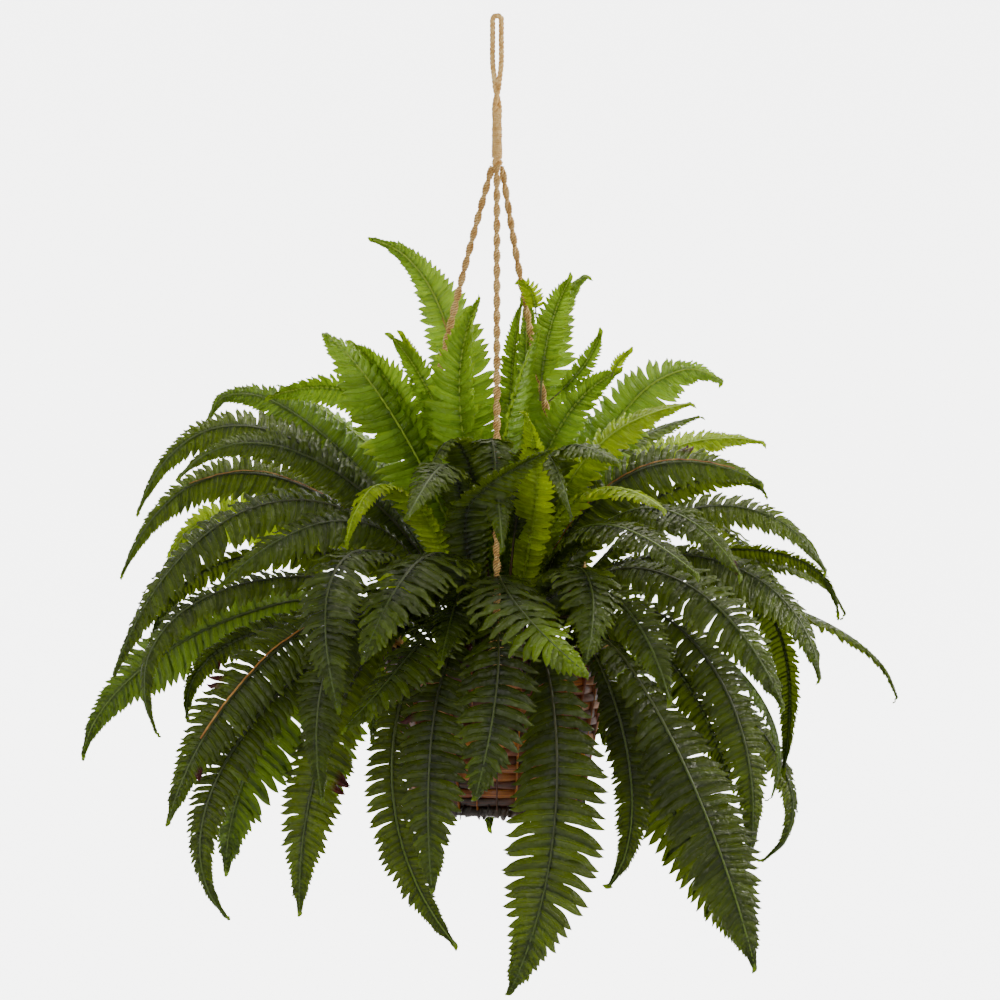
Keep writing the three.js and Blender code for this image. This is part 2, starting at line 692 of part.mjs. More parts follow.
function growClump(name, colour, ring, azimuth, fronds, seed) {
  const root = polar(RING_RADII[ring - 1], azimuth, SOIL_CROWN_Z + 1);
  const own = [];
  let body = null;
  fronds.forEach((frond, index) => {
    const found = findPlace(root, frond, seed + 31 * index, own);
    own.push({ body: found.leafy, box: found.box });
    body = body ? body.add(found.body) : found.body;
    if (!spines.has(name)) spines.set(name, found);
  });
  addObstacle(body);
  stemHoles.push(stemHole(root.clone().addScaledVector(UP, -STUB), STEM_HOLE_RADIUS));
  addNode(`${fronds.length > 1 ? "fronds" : "frond"}_${name}`, colour, body);
}

// ---- Runners ---------------------------------------------------------------------------------------------

// A thin wiry runner that lies along a frond, just over its rib; each try lifts it a little more.
function growRunner(host, seed) {
  const { spine, roll } = spines.get(host);
  const random = dice(seed);
  for (let k = 0; k < RUNNER_TRIES; k += 1) {
    const route = [];
    for (let i = 0; i <= RUNNER_BENDS; i += 1) {
      const u = ((RUNNERS.get(host) - 0.0007 * k) * i) / RUNNER_BENDS;
      const s = stationAt(spine, u, roll);
      if (i < 2) route.push(s.at.add(polar(RUNNER_ROOT_SHIFT, 50 * k, 0)));
      else {
        s.at.addScaledVector(s.up, RUNNER_LIFT + 0.02 * k + random() * 0.4);
        route.push(s.at.addScaledVector(s.side, random() * 1.5));
      }
    }
    const [collar] = route;
    const foot = collar.clone().addScaledVector(UP, -STUB);
    const path = new THREE.CatmullRomCurve3([foot, ...route]);
    const body = tube(path, Math.round(path.getLength() / RUNNER_STEP), 3, () => RUNNER_RADIUS);
    const box = body.boundingBox();
    if (!isClear(body, box, obstacles)) continue;
    obstacles.push({ body, box });
    stemHoles.push(stemHole(foot, RUNNER_HOLE_RADIUS));
    addNode(`runner_${host}`, "runner", body);
    return;
  }
  throw new Error(`no room for the runner on ${host}`);
}

// ---- Assembly --------------------------------------------------------------------------------------------

const fixed = [
  ["hang_loop", "jute", hangLoop()],
  ["loop_binding", "jute", binding()],
  ["gathering_knot", "jute", gatheringKnot()],
  ["basket_wall", "cane", basket()],
  ["rim_hoop", "cane", rimHoop()],
  ["foot_hoop", "cane_dark", footHoop()],
  ["inner_pot", "pot", pot()],
];
ROPES.forEach(([name, azimuth, push], i) => {
  fixed.push([`rope_${name}`, "jute", rope(azimuth, new THREE.Vector3(...push))]);
  fixed.push([`rim_knot_${name}`, "jute", rimKnot(azimuth, 40 + i)]);
});
for (const [name, finish, body] of fixed) {
  addNode(name, finish, body);
  addObstacle(body);
}

CLUMPS.forEach(([name, colour, ring, azimuth, fronds], i) => {
  const placed = fronds.map(([middle, tip, ...rest]) => [
    new THREE.Vector3(...middle),
    new THREE.Vector3(...tip),
    ...rest,
  ]);
  growClump(name, colour, ring, azimuth, placed, 100 + 7 * i);
  if (RUNNERS.has(name)) growRunner(name, 300 + i);
});
for (let i = 0; i < BACK_COUNT; i += 1) {
  const azimuth = BACK_FIRST + ((BACK_LAST - BACK_FIRST) * i) / (BACK_COUNT - 1);
  const tier = BACK_TIERS[i % BACK_TIERS.length];
  const frond = [polar(tier.middle[0], azimuth, tier.middle[1]), polar(tier.tip[0], azimuth, tier.tip[1]),
    tier.rise, tier.width, 0];
  growClump(`back_${i + 1}`, tier.colour, tier.ring, azimuth, [frond], 900 + 13 * i);
}
addNode("soil", "soil", soil(stemHoles));

export default part;
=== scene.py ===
"""Boston fern in a woven hanging basket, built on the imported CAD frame.

Lengths are metres in the frame of the CAD: +Z up, -Y the front. Each operator builds one piece or one group of pieces.
"""
import json
import random
from math import cos, inf, pi, radians, sin, tau

import bmesh
import bpy
from mathutils import Matrix, Vector, noise

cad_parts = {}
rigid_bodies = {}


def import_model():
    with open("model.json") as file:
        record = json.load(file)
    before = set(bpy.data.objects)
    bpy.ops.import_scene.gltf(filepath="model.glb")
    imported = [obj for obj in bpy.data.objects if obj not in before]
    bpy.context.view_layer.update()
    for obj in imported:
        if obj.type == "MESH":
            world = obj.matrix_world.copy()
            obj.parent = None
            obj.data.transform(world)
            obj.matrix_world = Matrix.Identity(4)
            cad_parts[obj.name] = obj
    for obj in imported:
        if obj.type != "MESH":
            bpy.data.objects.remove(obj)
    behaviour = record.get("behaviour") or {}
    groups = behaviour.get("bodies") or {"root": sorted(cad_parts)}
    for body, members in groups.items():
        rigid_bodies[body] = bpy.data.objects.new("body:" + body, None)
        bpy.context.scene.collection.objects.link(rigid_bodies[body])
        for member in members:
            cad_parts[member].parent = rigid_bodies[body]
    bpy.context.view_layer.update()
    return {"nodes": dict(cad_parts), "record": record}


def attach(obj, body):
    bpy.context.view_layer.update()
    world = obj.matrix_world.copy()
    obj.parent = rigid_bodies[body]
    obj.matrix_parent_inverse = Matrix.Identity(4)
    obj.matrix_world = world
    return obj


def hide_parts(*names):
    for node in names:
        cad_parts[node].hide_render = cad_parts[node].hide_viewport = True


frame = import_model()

bl_info = {
    "name": "Boston fern in a woven hanging basket",
    "version": (1, 0, 0),
    "blender": (4, 5, 0),
    "location": "View3D > Sidebar > Fern",
    "description": "Builds a hanging Boston fern with its ropes, woven basket, pot and soil",
    "category": "Add Mesh",
}

UP = Vector((0, 0, 1))

# ---- Dimensions shared with the CAD

LEG_OFFSET = 0.0050
TWIST_OFFSET = 0.0029
TWIST_TOP_Z, TWIST_BOTTOM_Z = -0.070, -0.106
BINDING_TOP_Z, BINDING_BOTTOM_Z = -0.1074, -0.1606
ROPE_ROUTES = {  # azimuth of the rim knot and the point that the leaves push the rope towards
    "front": (-90, (0, -0.066, -0.446)),
    "right": (18, (0.050, 0.020, -0.460)),
    "left": (156, (-0.099, 0.028, -0.496)),
}
ROPE_START_RADIUS, ROPE_START_Z = 0.006, -0.1703
RIM_Z, RIM_HEIGHT, RIM_WIDTH, RIM_RADIUS = -0.727, 0.016, 0.013, 0.126
KNOT_HEIGHT = 0.018
WALL_TOP_Z, WALL_BOTTOM_Z = -0.7434, -0.8956
BASKET_BOTTOM_Z, BASE_RADIUS = -0.908, 0.096
POT_TOP_Z, POT_BOTTOM_Z = -0.746, -0.8902
POT_TOP_RADIUS, POT_BASE_RADIUS, POT_WALL = 0.112, 0.085, 0.002
SOIL_CROWN_Z, SOIL_CROWN_RADIUS = -0.733, 0.098
COLLAR_Z, FOOT_Z = -0.732, -0.754  # of every stem


def polar(radius, degrees, z):
    """A point at a distance from the Z axis and an angle from +X."""
    turn = radians(degrees)
    return Vector((radius * cos(turn), radius * sin(turn), z))


def smoothstep(x, low, high):
    t = min(1.0, max(0.0, (x - low) / (high - low)))
    return t * t * (3 - 2 * t)


def srgb(code):
    """A hex colour as the linear colour that shaders take."""
    parts = [int(code[i : i + 2], 16) / 255 for i in (0, 2, 4)]
    return (*(p / 12.92 if p <= 0.04045 else ((p + 0.055) / 1.055) ** 2.4 for p in parts), 1.0)


# ---- Node trees


class Tree:
    """Adds nodes to a node tree. A call adds a node and returns one of its outputs.

    Plain arguments fill the node's inputs in turn. Named ones with a capital fill the input of that name, with _ for a
    space, and the others set the node's properties. Colours are hex codes.
    """

    def __init__(self, tree):
        self.tree = tree

    def fill(self, socket, value):
        if isinstance(value, bpy.types.NodeSocket):
            self.tree.links.new(value, socket)
        else:
            socket.default_value = srgb(value) if socket.type == "RGBA" else value

    def node(self, kind, *values, **details):
        kinds = (family + kind for family in ("ShaderNode", "GeometryNode", "FunctionNode", ""))
        node = self.tree.nodes.new(next(name for name in kinds if hasattr(bpy.types, name)))
        inputs = dict(enumerate(values))
        for name, value in details.items():
            if name[0].isupper():
                inputs[name.replace("_", " ")] = value
            else:
                setattr(node, name, value)
        for key, value in inputs.items():
            self.fill(node.inputs[key], value)
        return node

    def __call__(self, kind, *values, out=0, **details):
        return self.node(kind, *values, **details).outputs[out]

    def math(self, operation, *values):
        return self("Math", *values, operation=operation)

    def times(self, value, factor, plus=None):
        """The product, with a third value added where there is one."""
        if plus is None:
            return self.math("MULTIPLY", value, factor)
        return self.math("MULTIPLY_ADD", value, factor, plus)

    def vector(self, operation, *values):
        return self("VectorMath", *values, operation=operation)

    def scaled(self, vector, factor):
        return self("VectorMath", vector, Scale=factor, operation="SCALE")

    def stored(self, name, kind="FLOAT"):
        """A named attribute as a field."""
        return self("InputNamedAttribute", Name=name, data_type=kind)

    def store(self, geometry, name, value):
        """The geometry with a value kept in a named attribute of its points."""
        return self("StoreNamedAttribute", Geometry=geometry, Name=name, Value=value)

    def sweep(self, curve, profile, material):
        """A curve with a skin, thick where the girth is large."""
        skin = self("CurveToMesh", Curve=curve, Profile_Curve=profile, Scale=self.stored("girth"), Fill_Caps=True)
        return self("SetMaterial", Geometry=skin, Material=material)

    def strew(self, points, shapes, material, **details):
        """Shapes of a collection on points, as one mesh."""
        shapes = self("CollectionInfo", Collection=shapes, Separate_Children=True, Reset_Children=True)
        placed = self("InstanceOnPoints", Points=points, Instance=shapes, Pick_Instance=True, **details)
        return self("SetMaterial", Geometry=self("RealizeInstances", placed), Material=material)

    def join(self, *parts):
        """Geometries as one, shaded smooth."""
        node = self.node("JoinGeometry")
        for part in parts:
            self.tree.links.new(part, node.inputs[0])
        return self("SetShadeSmooth", node.outputs[0])

    def attribute(self, name, output="Fac"):
        """An attribute of the mesh as a value, a vector or a colour."""
        return self("Attribute", out=output, attribute_name=name)

    def place(self):
        return self("TexCoord", out="Object")

    def noise(self, scale, detail=3.0, roughness=0.55, place=None):
        """Noise, in the object's own coordinates if no others are given, with its scale in cycles per metre."""
        return self("TexNoise", Vector=place or self.place(), Scale=scale, Detail=detail, Roughness=roughness)

    def streaks(self, stretch, detail, roughness, third=0.0):
        """Noise that is drawn out along a strand."""
        place = self("CombineXYZ", self.attribute("along"), self.attribute("around"), third)
        return self.noise(1.0, detail, roughness, self.vector("MULTIPLY", place, stretch))

    def ramp(self, value, *stops):
        """A colour ramp of (place, hex colour) stops."""
        node = self.node("ValToRGB", value)
        elements = node.color_ramp.elements
        while len(elements) < len(stops):
            elements.new(0.5)
        for element, (place, code) in zip(elements, stops):
            element.position = place
            element.color = srgb(code)
        return node.outputs[0]

    def blend(self, factor, first, second):
        """Two colours mixed."""
        node = self.node("Mix", data_type="RGBA", clamp_factor=True)
        for key, value in ((0, factor), (6, first), (7, second)):
            self.fill(node.inputs[key], value)
        return node.outputs[2]

    def remap(self, value, low, high, to_low=0.0, to_high=1.0):
        """A value's range stretched to another one, and held there."""
        return self("MapRange", value, low, high, to_low, to_high, clamp=True)

    def bump(self, height, distance, strength=1.0):
        """A bumped normal, with the height's full range in metres."""
        return self("Bump", Height=height, Distance=distance, Strength=strength)

    def lay_out(self):
        """Puts the nodes in columns, each to the right of what feeds it."""
        column = {}

        def depth(node):
            if node not in column:
                column[node] = 0
                feeds = [link.from_node for socket in node.inputs for link in socket.links]
                column[node] = 1 + max((depth(feed) for feed in feeds), default=-1)
            return column[node]

        rows = {}
        for node in self.tree.nodes:
            x = depth(node)
            node.location = (220 * x, -180 * rows.get(x, 0))
            rows[x] = rows.get(x, 0) + 1


def strand_nodes(t, given):
    """Turns edges into twisted or flat strands.

    Width and Height are half sizes of the section, times the "girth" attribute. Turns are per metre.
    """
    curve = t("ResampleCurve", Curve=t("MeshToCurve", given["Geometry"]), Length=given["Step"], mode="LENGTH")
    curve = t("SetCurveNormal", curve, mode="MINIMUM_TWIST")

    # The plies of a rope wind round its middle line
    copies = t.node("DuplicateElements", Geometry=curve, Amount=given["Plies"], domain="SPLINE")
    length = t("SplineParameter", out="Length")
    share = t.math("DIVIDE", copies.outputs[1], given["Plies"])
    angle = t.times(t.times(length, given["Ply Turns"], share), tau)
    normal = t("InputNormal")
    across = t.vector("CROSS_PRODUCT", t("InputTangent"), normal)
    out = t.vector("ADD", t.scaled(normal, t.math("COSINE", angle)), t.scaled(across, t.math("SINE", angle)))
    curve = t("SetPosition", copies.outputs[0], Offset=t.scaled(out, given["Ply Offset"]))
    tilt = t.times(t.times(length, given["Yarn Turns"]), tau)
    curve = t("SetCurveTilt", Curve=t.store(curve, "along", length), Tilt=tilt)

    # The section: an ellipse whose lobes are the yarns of a ply
    circle = t("CurvePrimitiveCircle", Resolution=given["Sides"], Radius=1.0)
    factor = t("SplineParameter", out="Factor")
    wave = t.math("COSINE", t.times(t.times(factor, tau), given["Lobes"]))
    profile = t.store(t.store(circle, "around", factor), "crest", wave)
    sizes = t("CombineXYZ", given["Width"], given["Height"])
    ellipse = t.vector("MULTIPLY", t("InputPosition"), sizes)
    moved = t.scaled(ellipse, t.times(wave, given["Lobe Depth"], 1.0))
    skin = t.sweep(curve, t("SetPosition", profile, Position=moved), given["Material"])
    return t("RealizeInstances", t("SetShadeSmooth", skin))


def frond_nodes(t, given):
    """Sweeps the ribs along the edges and puts a leaflet on each loose point."""
    curve = t("SetCurveNormal", t("MeshToCurve", given["Geometry"]), mode="MINIMUM_TWIST")
    circle = t("CurvePrimitiveCircle", Resolution=given["Rib Sides"], Radius=1.0)
    is_leaf = t.math("GREATER_THAN", t.stored("leaf"), 0.5)
    aim, face, size = (t.stored(name, "FLOAT_VECTOR") for name in ("aim", "face", "size"))
    leaves = t.strew(
        t("MeshToPoints", Mesh=given["Geometry"], Selection=is_leaf),
        given["Leaflets"],
        given["Leaf Material"],
        Instance_Index=t.stored("variety", "INT"),
        Rotation=t("AxesToRotation", Primary_Axis=aim, Secondary_Axis=face, primary_axis="X", secondary_axis="Z"),
        Scale=size,
    )
    return t.join(t.sweep(curve, circle, given["Rib Material"]), leaves)


def scatter_nodes(t, given):
    """Strews turned and scaled crumbs over a surface and keeps the surface."""
    turn = t("RandomValue", Max=(tau, tau, tau), Seed=3, data_type="FLOAT_VECTOR")
    size = t.node("RandomValue", Seed=5, data_type="FLOAT")
    least, most = [socket for socket in size.inputs if socket.type == "VALUE"][:2]
    t.fill(least, given["Smallest"])
    t.fill(most, given["Largest"])
    points = t("DistributePointsOnFaces", Mesh=given["Geometry"], Density=given["Density"], Seed=given["Seed"])
    crumbs = t.strew(points, given["Crumbs"], given["Material"], Rotation=turn, Scale=size.outputs[1])
    return t("SetMaterial", Geometry=t.join(given["Geometry"], crumbs), Material=given["Material"])


# Each node group's function and inputs: a number is an input's default, and a word its type
NODE_GROUPS = {
    "Strand": (
        strand_nodes,
        {"Step": 0.002, "Plies": 1, "Ply Offset": 0.0, "Ply Turns": 0.0, "Width": 0.002, "Height": 0.002}
        | {"Lobes": 0.0, "Lobe Depth": 0.0, "Yarn Turns": 0.0, "Sides": 8, "Material": "Material"},
    ),
    "Frond": (
        frond_nodes,
        {"Leaflets": "Collection", "Rib Sides": 6, "Rib Material": "Material", "Leaf Material": "Material"},
    ),
    "Scatter": (
        scatter_nodes,
        {"Crumbs": "Collection", "Density": 9000.0, "Smallest": 0.4, "Largest": 1.0, "Seed": 1, "Material": "Material"},
    ),
}


def node_group(name):
    """The geometry node group of this name, made when it is first asked for."""
    if name in bpy.data.node_groups:
        return bpy.data.node_groups[name]
    build, inputs = NODE_GROUPS[name]
    tree = bpy.data.node_groups.new(name, "GeometryNodeTree")
    for way in ("INPUT", "OUTPUT"):
        tree.interface.new_socket("Geometry", in_out=way, socket_type="NodeSocketGeometry")
    for label, value in inputs.items():
        kind = value if isinstance(value, str) else type(value).__name__.capitalize()
        socket = tree.interface.new_socket(label, in_out="INPUT", socket_type="NodeSocket" + kind)
        if kind != value:
            socket.default_value = value
    t = Tree(tree)
    t.node("NodeGroupOutput", build(t, t.node("NodeGroupInput").outputs))
    t.lay_out()
    return tree


# ---- Meshes


def new_object(name, points, edges=(), faces=(), **attributes):
    """A mesh object at the origin, with point attributes given as lists of numbers or vectors."""
    mesh = bpy.data.meshes.new(name)
    mesh.from_pydata([tuple(p) for p in points], list(edges), list(faces))
    for label, values in attributes.items():
        if isinstance(values[0], (int, float)):
            kind = "INT" if isinstance(values[0], int) else "FLOAT"
            mesh.attributes.new(label, kind, "POINT").data.foreach_set("value", values)
        else:
            flat = [number for value in values for number in value]
            mesh.attributes.new(label, "FLOAT_VECTOR", "POINT").data.foreach_set("vector", flat)
    obj = bpy.data.objects.new(name, mesh)
    bpy.context.scene.collection.objects.link(obj)
    return obj


def run_nodes(obj, group, **inputs):
    """Gives the object a geometry nodes modifier with its inputs, and puts the made mesh in place of its own."""
    tree = node_group(group)
    modifier = obj.modifiers.new(group, "NODES")
    modifier.node_group = tree
    sockets = {item.name: item.identifier for item in tree.interface.items_tree if item.in_out == "INPUT"}
    for label, value in inputs.items():
        modifier[sockets[label.replace("_", " ")]] = value
    depsgraph = bpy.context.evaluated_depsgraph_get()
    result = obj.evaluated_get(depsgraph)
    made = bpy.data.meshes.new_from_object(result, preserve_all_data_layers=True, depsgraph=depsgraph)
    plain = obj.data
    obj.modifiers.clear()
    obj.data = made
    made.name = obj.name
    bpy.data.meshes.remove(plain)
    if not obj.data.polygons:
        raise RuntimeError(f"{obj.name} came out of its nodes with no faces")
    return obj


def strand(name, lines, step, width, height=None, look=None, closed=False, tint=None, **inputs):
    """Strands along lines of (points, girth), with girth a number or a list. The finish is jute if none is given."""
    points, edges, girth = [], [], []
    for line, thickness in lines:
        first = len(points)
        points += line
        girth += thickness if isinstance(thickness, list) else [float(thickness)] * len(line)
        edges += [(first + i, first + i + 1) for i in range(len(line) - 1)]
        if closed:
            edges.append((first + len(line) - 1, first))
    obj = new_object(name, points, edges, girth=girth)
    inputs["Material"] = look or finish("jute", jute_look)
    run_nodes(obj, "Strand", Step=step, Width=width, Height=height or width, **inputs)
    if tint is not None:
        layer = obj.data.attributes.new("tint", "FLOAT", "POINT")
        layer.data.foreach_set("value", [tint] * len(obj.data.vertices))
    return obj


def settle(slot, nodes, obj, *others):
    """Joins a piece, which stands for its CAD nodes, and lets it move with the root body. The slot is not used."""
    if others:
        with bpy.context.temp_override(active_object=obj, selected_editable_objects=[obj, *others]):
            bpy.ops.object.join()
    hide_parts(*nodes)
    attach(obj, "root")


def smooth_line(points, steps):
    """A Catmull-Rom line through points, with steps between each two."""
    ends = [points[0] * 2 - points[1], *points, points[-1] * 2 - points[-2]]
    line = []
    for a, b, c, d in zip(ends, ends[1:], ends[2:], ends[3:]):
        for i in range(steps):
            t = i / steps
            bend = (2 * a - 5 * b + 4 * c - d) * t**2
            line.append(0.5 * (2 * b + (c - a) * t + bend + (3 * b - a - 3 * c + d) * t**3))
    return line + [points[-1].copy()]


def bezier_line(start, push, end, steps):
    return [start * (1 - t) ** 2 + push * 2 * t * (1 - t) + end * t * t for t in (i / steps for i in range(steps + 1))]


def lathe(name, outline, sides):
    """An object of an outline of (radius, z) turned round the Z axis. A radius of 0 makes a pole."""
    points, faces, rings = [], [], []
    for radius, z in outline:
        ring = [len(points)] if radius == 0 else list(range(len(points), len(points) + sides))
        rings.append(ring)
        points += [polar(radius, 360 * k / sides, z) for k in range(len(ring))]
    for low, high in zip(rings, rings[1:]):
        for k in range(sides):
            turn = (k + 1) % sides
            corners = [high[k % len(high)], high[turn % len(high)], low[turn % len(low)], low[k % len(low)]]
            faces.append(tuple(dict.fromkeys(corners)))
    return new_object(name, points, (), faces)


# ---- Materials


def finish(name, look, *details):
    """The finish of this name, made once, from what its look gives the Principled shader.

    The CAD has plain materials of the same names, so a finish has an ending to its name.
    """
    name += "_finish"
    if name in bpy.data.materials:
        return bpy.data.materials[name]
    material = bpy.data.materials.new(name)
    material.use_nodes = True
    material.node_tree.nodes.clear()
    t = Tree(material.node_tree)
    shader = t.node("BsdfPrincipled")
    surface = shader.outputs[0]
    for label, value in look(t, *details).items():
        if label == "Through":
            surface = t("MixShader", 0.25, surface, t("BsdfTranslucent", value))
        else:
            t.fill(shader.inputs[label], value)
    t.node("OutputMaterial", surface)
    t.lay_out()
    return material


LEAF_TONES = {  # colours of the blade beside the rib, over most of its width, at its edge, and lit through
    "leaf_dark": ("262f2b", "485a16", "728610", "94ae0a"),
    "leaf_fresh": ("344424", "567224", "7c9828", "98bc18"),
    "leaf_young": ("507024", "789e28", "a2c02c", "b0d41c"),
    "leaf_lime": ("729010", "a6c410", "c8d818", "c8e40e"),
}
RIB_TONES = {  # colours of the stalk at its foot, its lower half, its upper half and its tip
    "leaf_dark": ("4a3212", "3a3c12", "34400c", "546c0c"),
    "leaf_fresh": ("523a14", "464e12", "44580c", "688408"),
    "leaf_young": ("5c4818", "66801c", "86a41c", "9cb818"),
    "leaf_lime": ("62501a", "789420", "98b41c", "accc18"),
}
CANE_TONES = {"cane": ("2a1206", "7c380e", "dc8c34"), "cane_dark": ("1c0e07", "482610", "7c4a22")}
YOUNG_TIP, DRY_TIP, DRY_GLOW = "8fb512", "4b1512", "4b1a16"


def leaf_look(t, inner, outer, edge, glow):
    """A fern leaflet: darkest and bluest beside the rib, lighter at its edge and tip, with forked side veins.

    The thin blade lets some light through, and its waxy skin gives soft highlights.
    """
    along, across, _ = t.node("SeparateXYZ", t.attribute("blade", "Vector")).outputs
    off_vein = t.math("ABSOLUTE", across)
    patch, grain = t.noise(38.0, 2.0), t.noise(170.0, 2.0)

    # Colour from the rib outwards, then the veins, the leaflet's tint, which mixes a random tone with painted light and
    # shade by height, and a few dry tips
    reach = t.times(grain, 0.25, t.times(patch, 0.7, along))
    reach = t.times(t.times(off_vein, 0.10, reach), 0.5)
    base = t.ramp(reach, (0.26, inner), (0.46, outer), (0.66, outer), (0.84, edge))
    base = t.blend(t.attribute("young"), base, YOUNG_TIP)
    slant = t.times(off_vein, -3.2, t.times(along, 34.0))
    vein = t.math("ABSOLUTE", t.math("SINE", t.times(slant, pi)))
    vein = t.remap(vein, 0.0, 0.42, 1.0, 0.0)
    middle = t.remap(off_vein, 0.03, 0.14, 1.0, 0.0)
    light = t.blend(0.5, base, glow)
    base = t.blend(t.times(vein, 0.16), base, light)
    base = t.blend(t.times(middle, 0.5), base, light)
    # Painted light and shade: the tint lightens leaflets high up and darkens those low down and on shaded fronds
    tint = t.remap(t.attribute("tint"), 0.0, 1.0, 0.35, 1.6)
    dry = t.times(t.attribute("dry"), t.remap(along, 0.5, 0.72))
    base = t.blend(dry, t("HueSaturation", Color=base, Value=tint), DRY_TIP)
    relief = t.times(middle, -1.2, t.times(vein, -0.5))
    return {
        "Base Color": base,
        "Roughness": t.times(grain, 0.16, 0.16),
        "Normal": t.bump(t.times(grain, 2.3, relief), 0.0016),
        "Specular IOR Level": 0.5,
        "Through": t.blend(dry, t.blend(0.45, base, glow), DRY_GLOW),
    }


def rib_look(t, foot, lower, upper, tip):
    """A frond's stalk: brown and scaly at its foot, the colour of its blade further up, with a dull shine."""
    grain = t.noise(700.0, 3.0)
    base = t.ramp(t.attribute("young"), (0.0, foot), (0.22, lower), (0.6, upper), (1.0, tip))
    base = t.blend(t.remap(grain, 0.5, 0.72, 0.0, 0.6), base, "22180b")
    return {"Base Color": base, "Roughness": 0.42, "Normal": t.bump(grain, 0.0004, 0.6)}


def jute_look(t):
    """Twisted jute: tan fibres that run along the yarn, with painted shade that darkens the grooves between the yarns,
    so the crests stay paler.
    """
    fibre = t.streaks((160.0, 26.0, 1.0), 4.0, 0.6)
    value = t.times(t.noise(120.0), 0.5, t.times(fibre, 0.6))
    base = t.ramp(value, (0.32, "84501e"), (0.46, "c8964e"), (0.6, "f4cc84"), (0.78, "fff0b8"))
    # Painted shade: the grooves between the yarns are blended towards dark brown
    base = t.blend(t.remap(t.attribute("crest"), -1.0, 0.2, 0.85, 0.0), base, "4a2c14")
    shine = {"Roughness": 0.85, "Sheen Weight": 0.08, "Sheen Roughness": 0.5}
    return {"Base Color": base, "Normal": t.bump(fibre, 0.0006, 0.9)} | shine


def cane_look(t, dark, mid, light):
    """Split cane under stain and lacquer: streaks along the strip, a tone that differs from strip to strip, and a wet
    gloss.
    """
    tint = t.attribute("tint")
    streak = t.streaks((22.0, 30.0, 40.0), 5.0, 0.65, tint)
    value = t.times(t.noise(30.0, 2.0), 0.5, t.times(streak, 0.6))
    value = t.times(tint, 0.4, t.math("SUBTRACT", value, 0.2))
    base = t.ramp(value, (0.3, dark), (0.55, mid), (0.85, light))
    shine = {"Roughness": 0.42, "Coat Weight": 0.6, "Coat Roughness": 0.16}
    return {"Base Color": base, "Normal": t.bump(streak, 0.0005, 0.6)} | shine


def soil_look(t):
    """Damp peaty compost: near black hollows, brown crumbs, green moss in patches."""
    grain = t.noise(260.0, 6.0, 0.7)
    base = t.ramp(grain, (0.3, "140d07"), (0.55, "33241a"), (0.75, "5a4230"))
    base = t.blend(t.remap(t.noise(26.0), 0.56, 0.66), base, "3d4f18")
    return {"Base Color": base, "Roughness": 0.9, "Normal": t.bump(grain, 0.002, 0.8)}


def pot_look(t):
    """A nursery pot of black moulded plastic: satin, with fine scuffs and dried water marks."""
    scuff = t.noise(90.0, 5.0, 0.7, t.vector("MULTIPLY", t.place(), (1, 1, 0.3)))
    base = t.ramp(scuff, (0.35, "141412"), (0.7, "262522"))
    shine = t.remap(scuff, 0.3, 0.7, 0.32, 0.6)
    return {"Base Color": base, "Roughness": shine, "Normal": t.bump(scuff, 0.0003, 0.5)}


def runner_look(t):
    """A wiry runner: orange brown, redder in places, with a faint shine."""
    base = t.ramp(t.noise(90.0), (0.3, "7a3f14"), (0.5, "a8702c"), (0.7, "c79548"))
    return {"Base Color": base, "Roughness": 0.5, "Normal": t.bump(t.noise(1500.0, 2.0), 0.0002, 0.6)}


def paper_look(t, glow):
    """The studio's seamless paper: white and matt, with painted light: it glows of itself, most behind the plant, as if
    lit through from behind, and faintly everywhere.
    """
    x, y, z = t.node("SeparateXYZ", t.place()).outputs
    # Painted light: the paper behind the plant glows, fading towards its sides and top, over a faint glow everywhere
    behind = t.remap(y, 2.5, 4.2)
    middle = t.remap(t.math("ABSOLUTE", x), 1.6, 2.2, 1.0, 0.0)
    lit = t.times(behind, t.times(middle, t.remap(z, 1.0, 1.7, 1.0, 0.0)))
    return {
        "Base Color": t.ramp(t.noise(3.0, 2.0), (0.0, "c4c4c4"), (1.0, "cccccc")),
        "Roughness": 0.95,
        "Emission Color": "ffffff",
        "Emission Strength": t.times(lit, glow, 0.14),
    }


# ---- Reading the fronds of the CAD

BLADE_EDGE = 0.0008  # length of the short edge at each leaflet's tip in the CAD
SECTION_EDGE = 0.0033  # a little more than the longest side of a rib's section
LINE_STEPS = 4  # between two of the CAD's sections
NEAR_COLLAR = 0.02  # a stalk's groups this close to the soil are left out
LEAN, DROOP = 0.16, 0.24  # of a leaflet, towards its frond's tip and down, for each unit out to the side


def centre_of(points):
    return sum(points, Vector()) / len(points)


def sections_of(name):
    """The CAD node's vertices in groups: sections of the rib, and tips, with the groups that edges join."""
    build = bmesh.new()
    build.from_mesh(frame["nodes"][name].data)
    bmesh.ops.remove_doubles(build, verts=build.verts, dist=2e-6)
    build.verts.index_update()
    owner = list(range(len(build.verts)))
    edges = [(edge.verts[0].index, edge.verts[1].index, edge.calc_length()) for edge in build.edges]

    def find(i):
        while owner[i] != i:
            i = owner[i]
        return i

    tips = set()
    for a, b, length in edges:
        if abs(length - BLADE_EDGE) < 2e-5:
            owner[find(a)] = find(b)
            tips |= {a, b}
    for a, b, length in edges:
        if a not in tips and b not in tips and length < SECTION_EDGE:
            owner[find(a)] = find(b)
    groups = {}
    for vert in build.verts:
        groups.setdefault(find(vert.index), []).append(vert.co.copy())
    build.free()
    joined = {key: set() for key in groups}
    for a, b, _ in edges:
        a, b = find(a), find(b)
        if a != b:
            joined[a].add(b)
            joined[b].add(a)
    return groups, joined, {find(i) for i in tips}


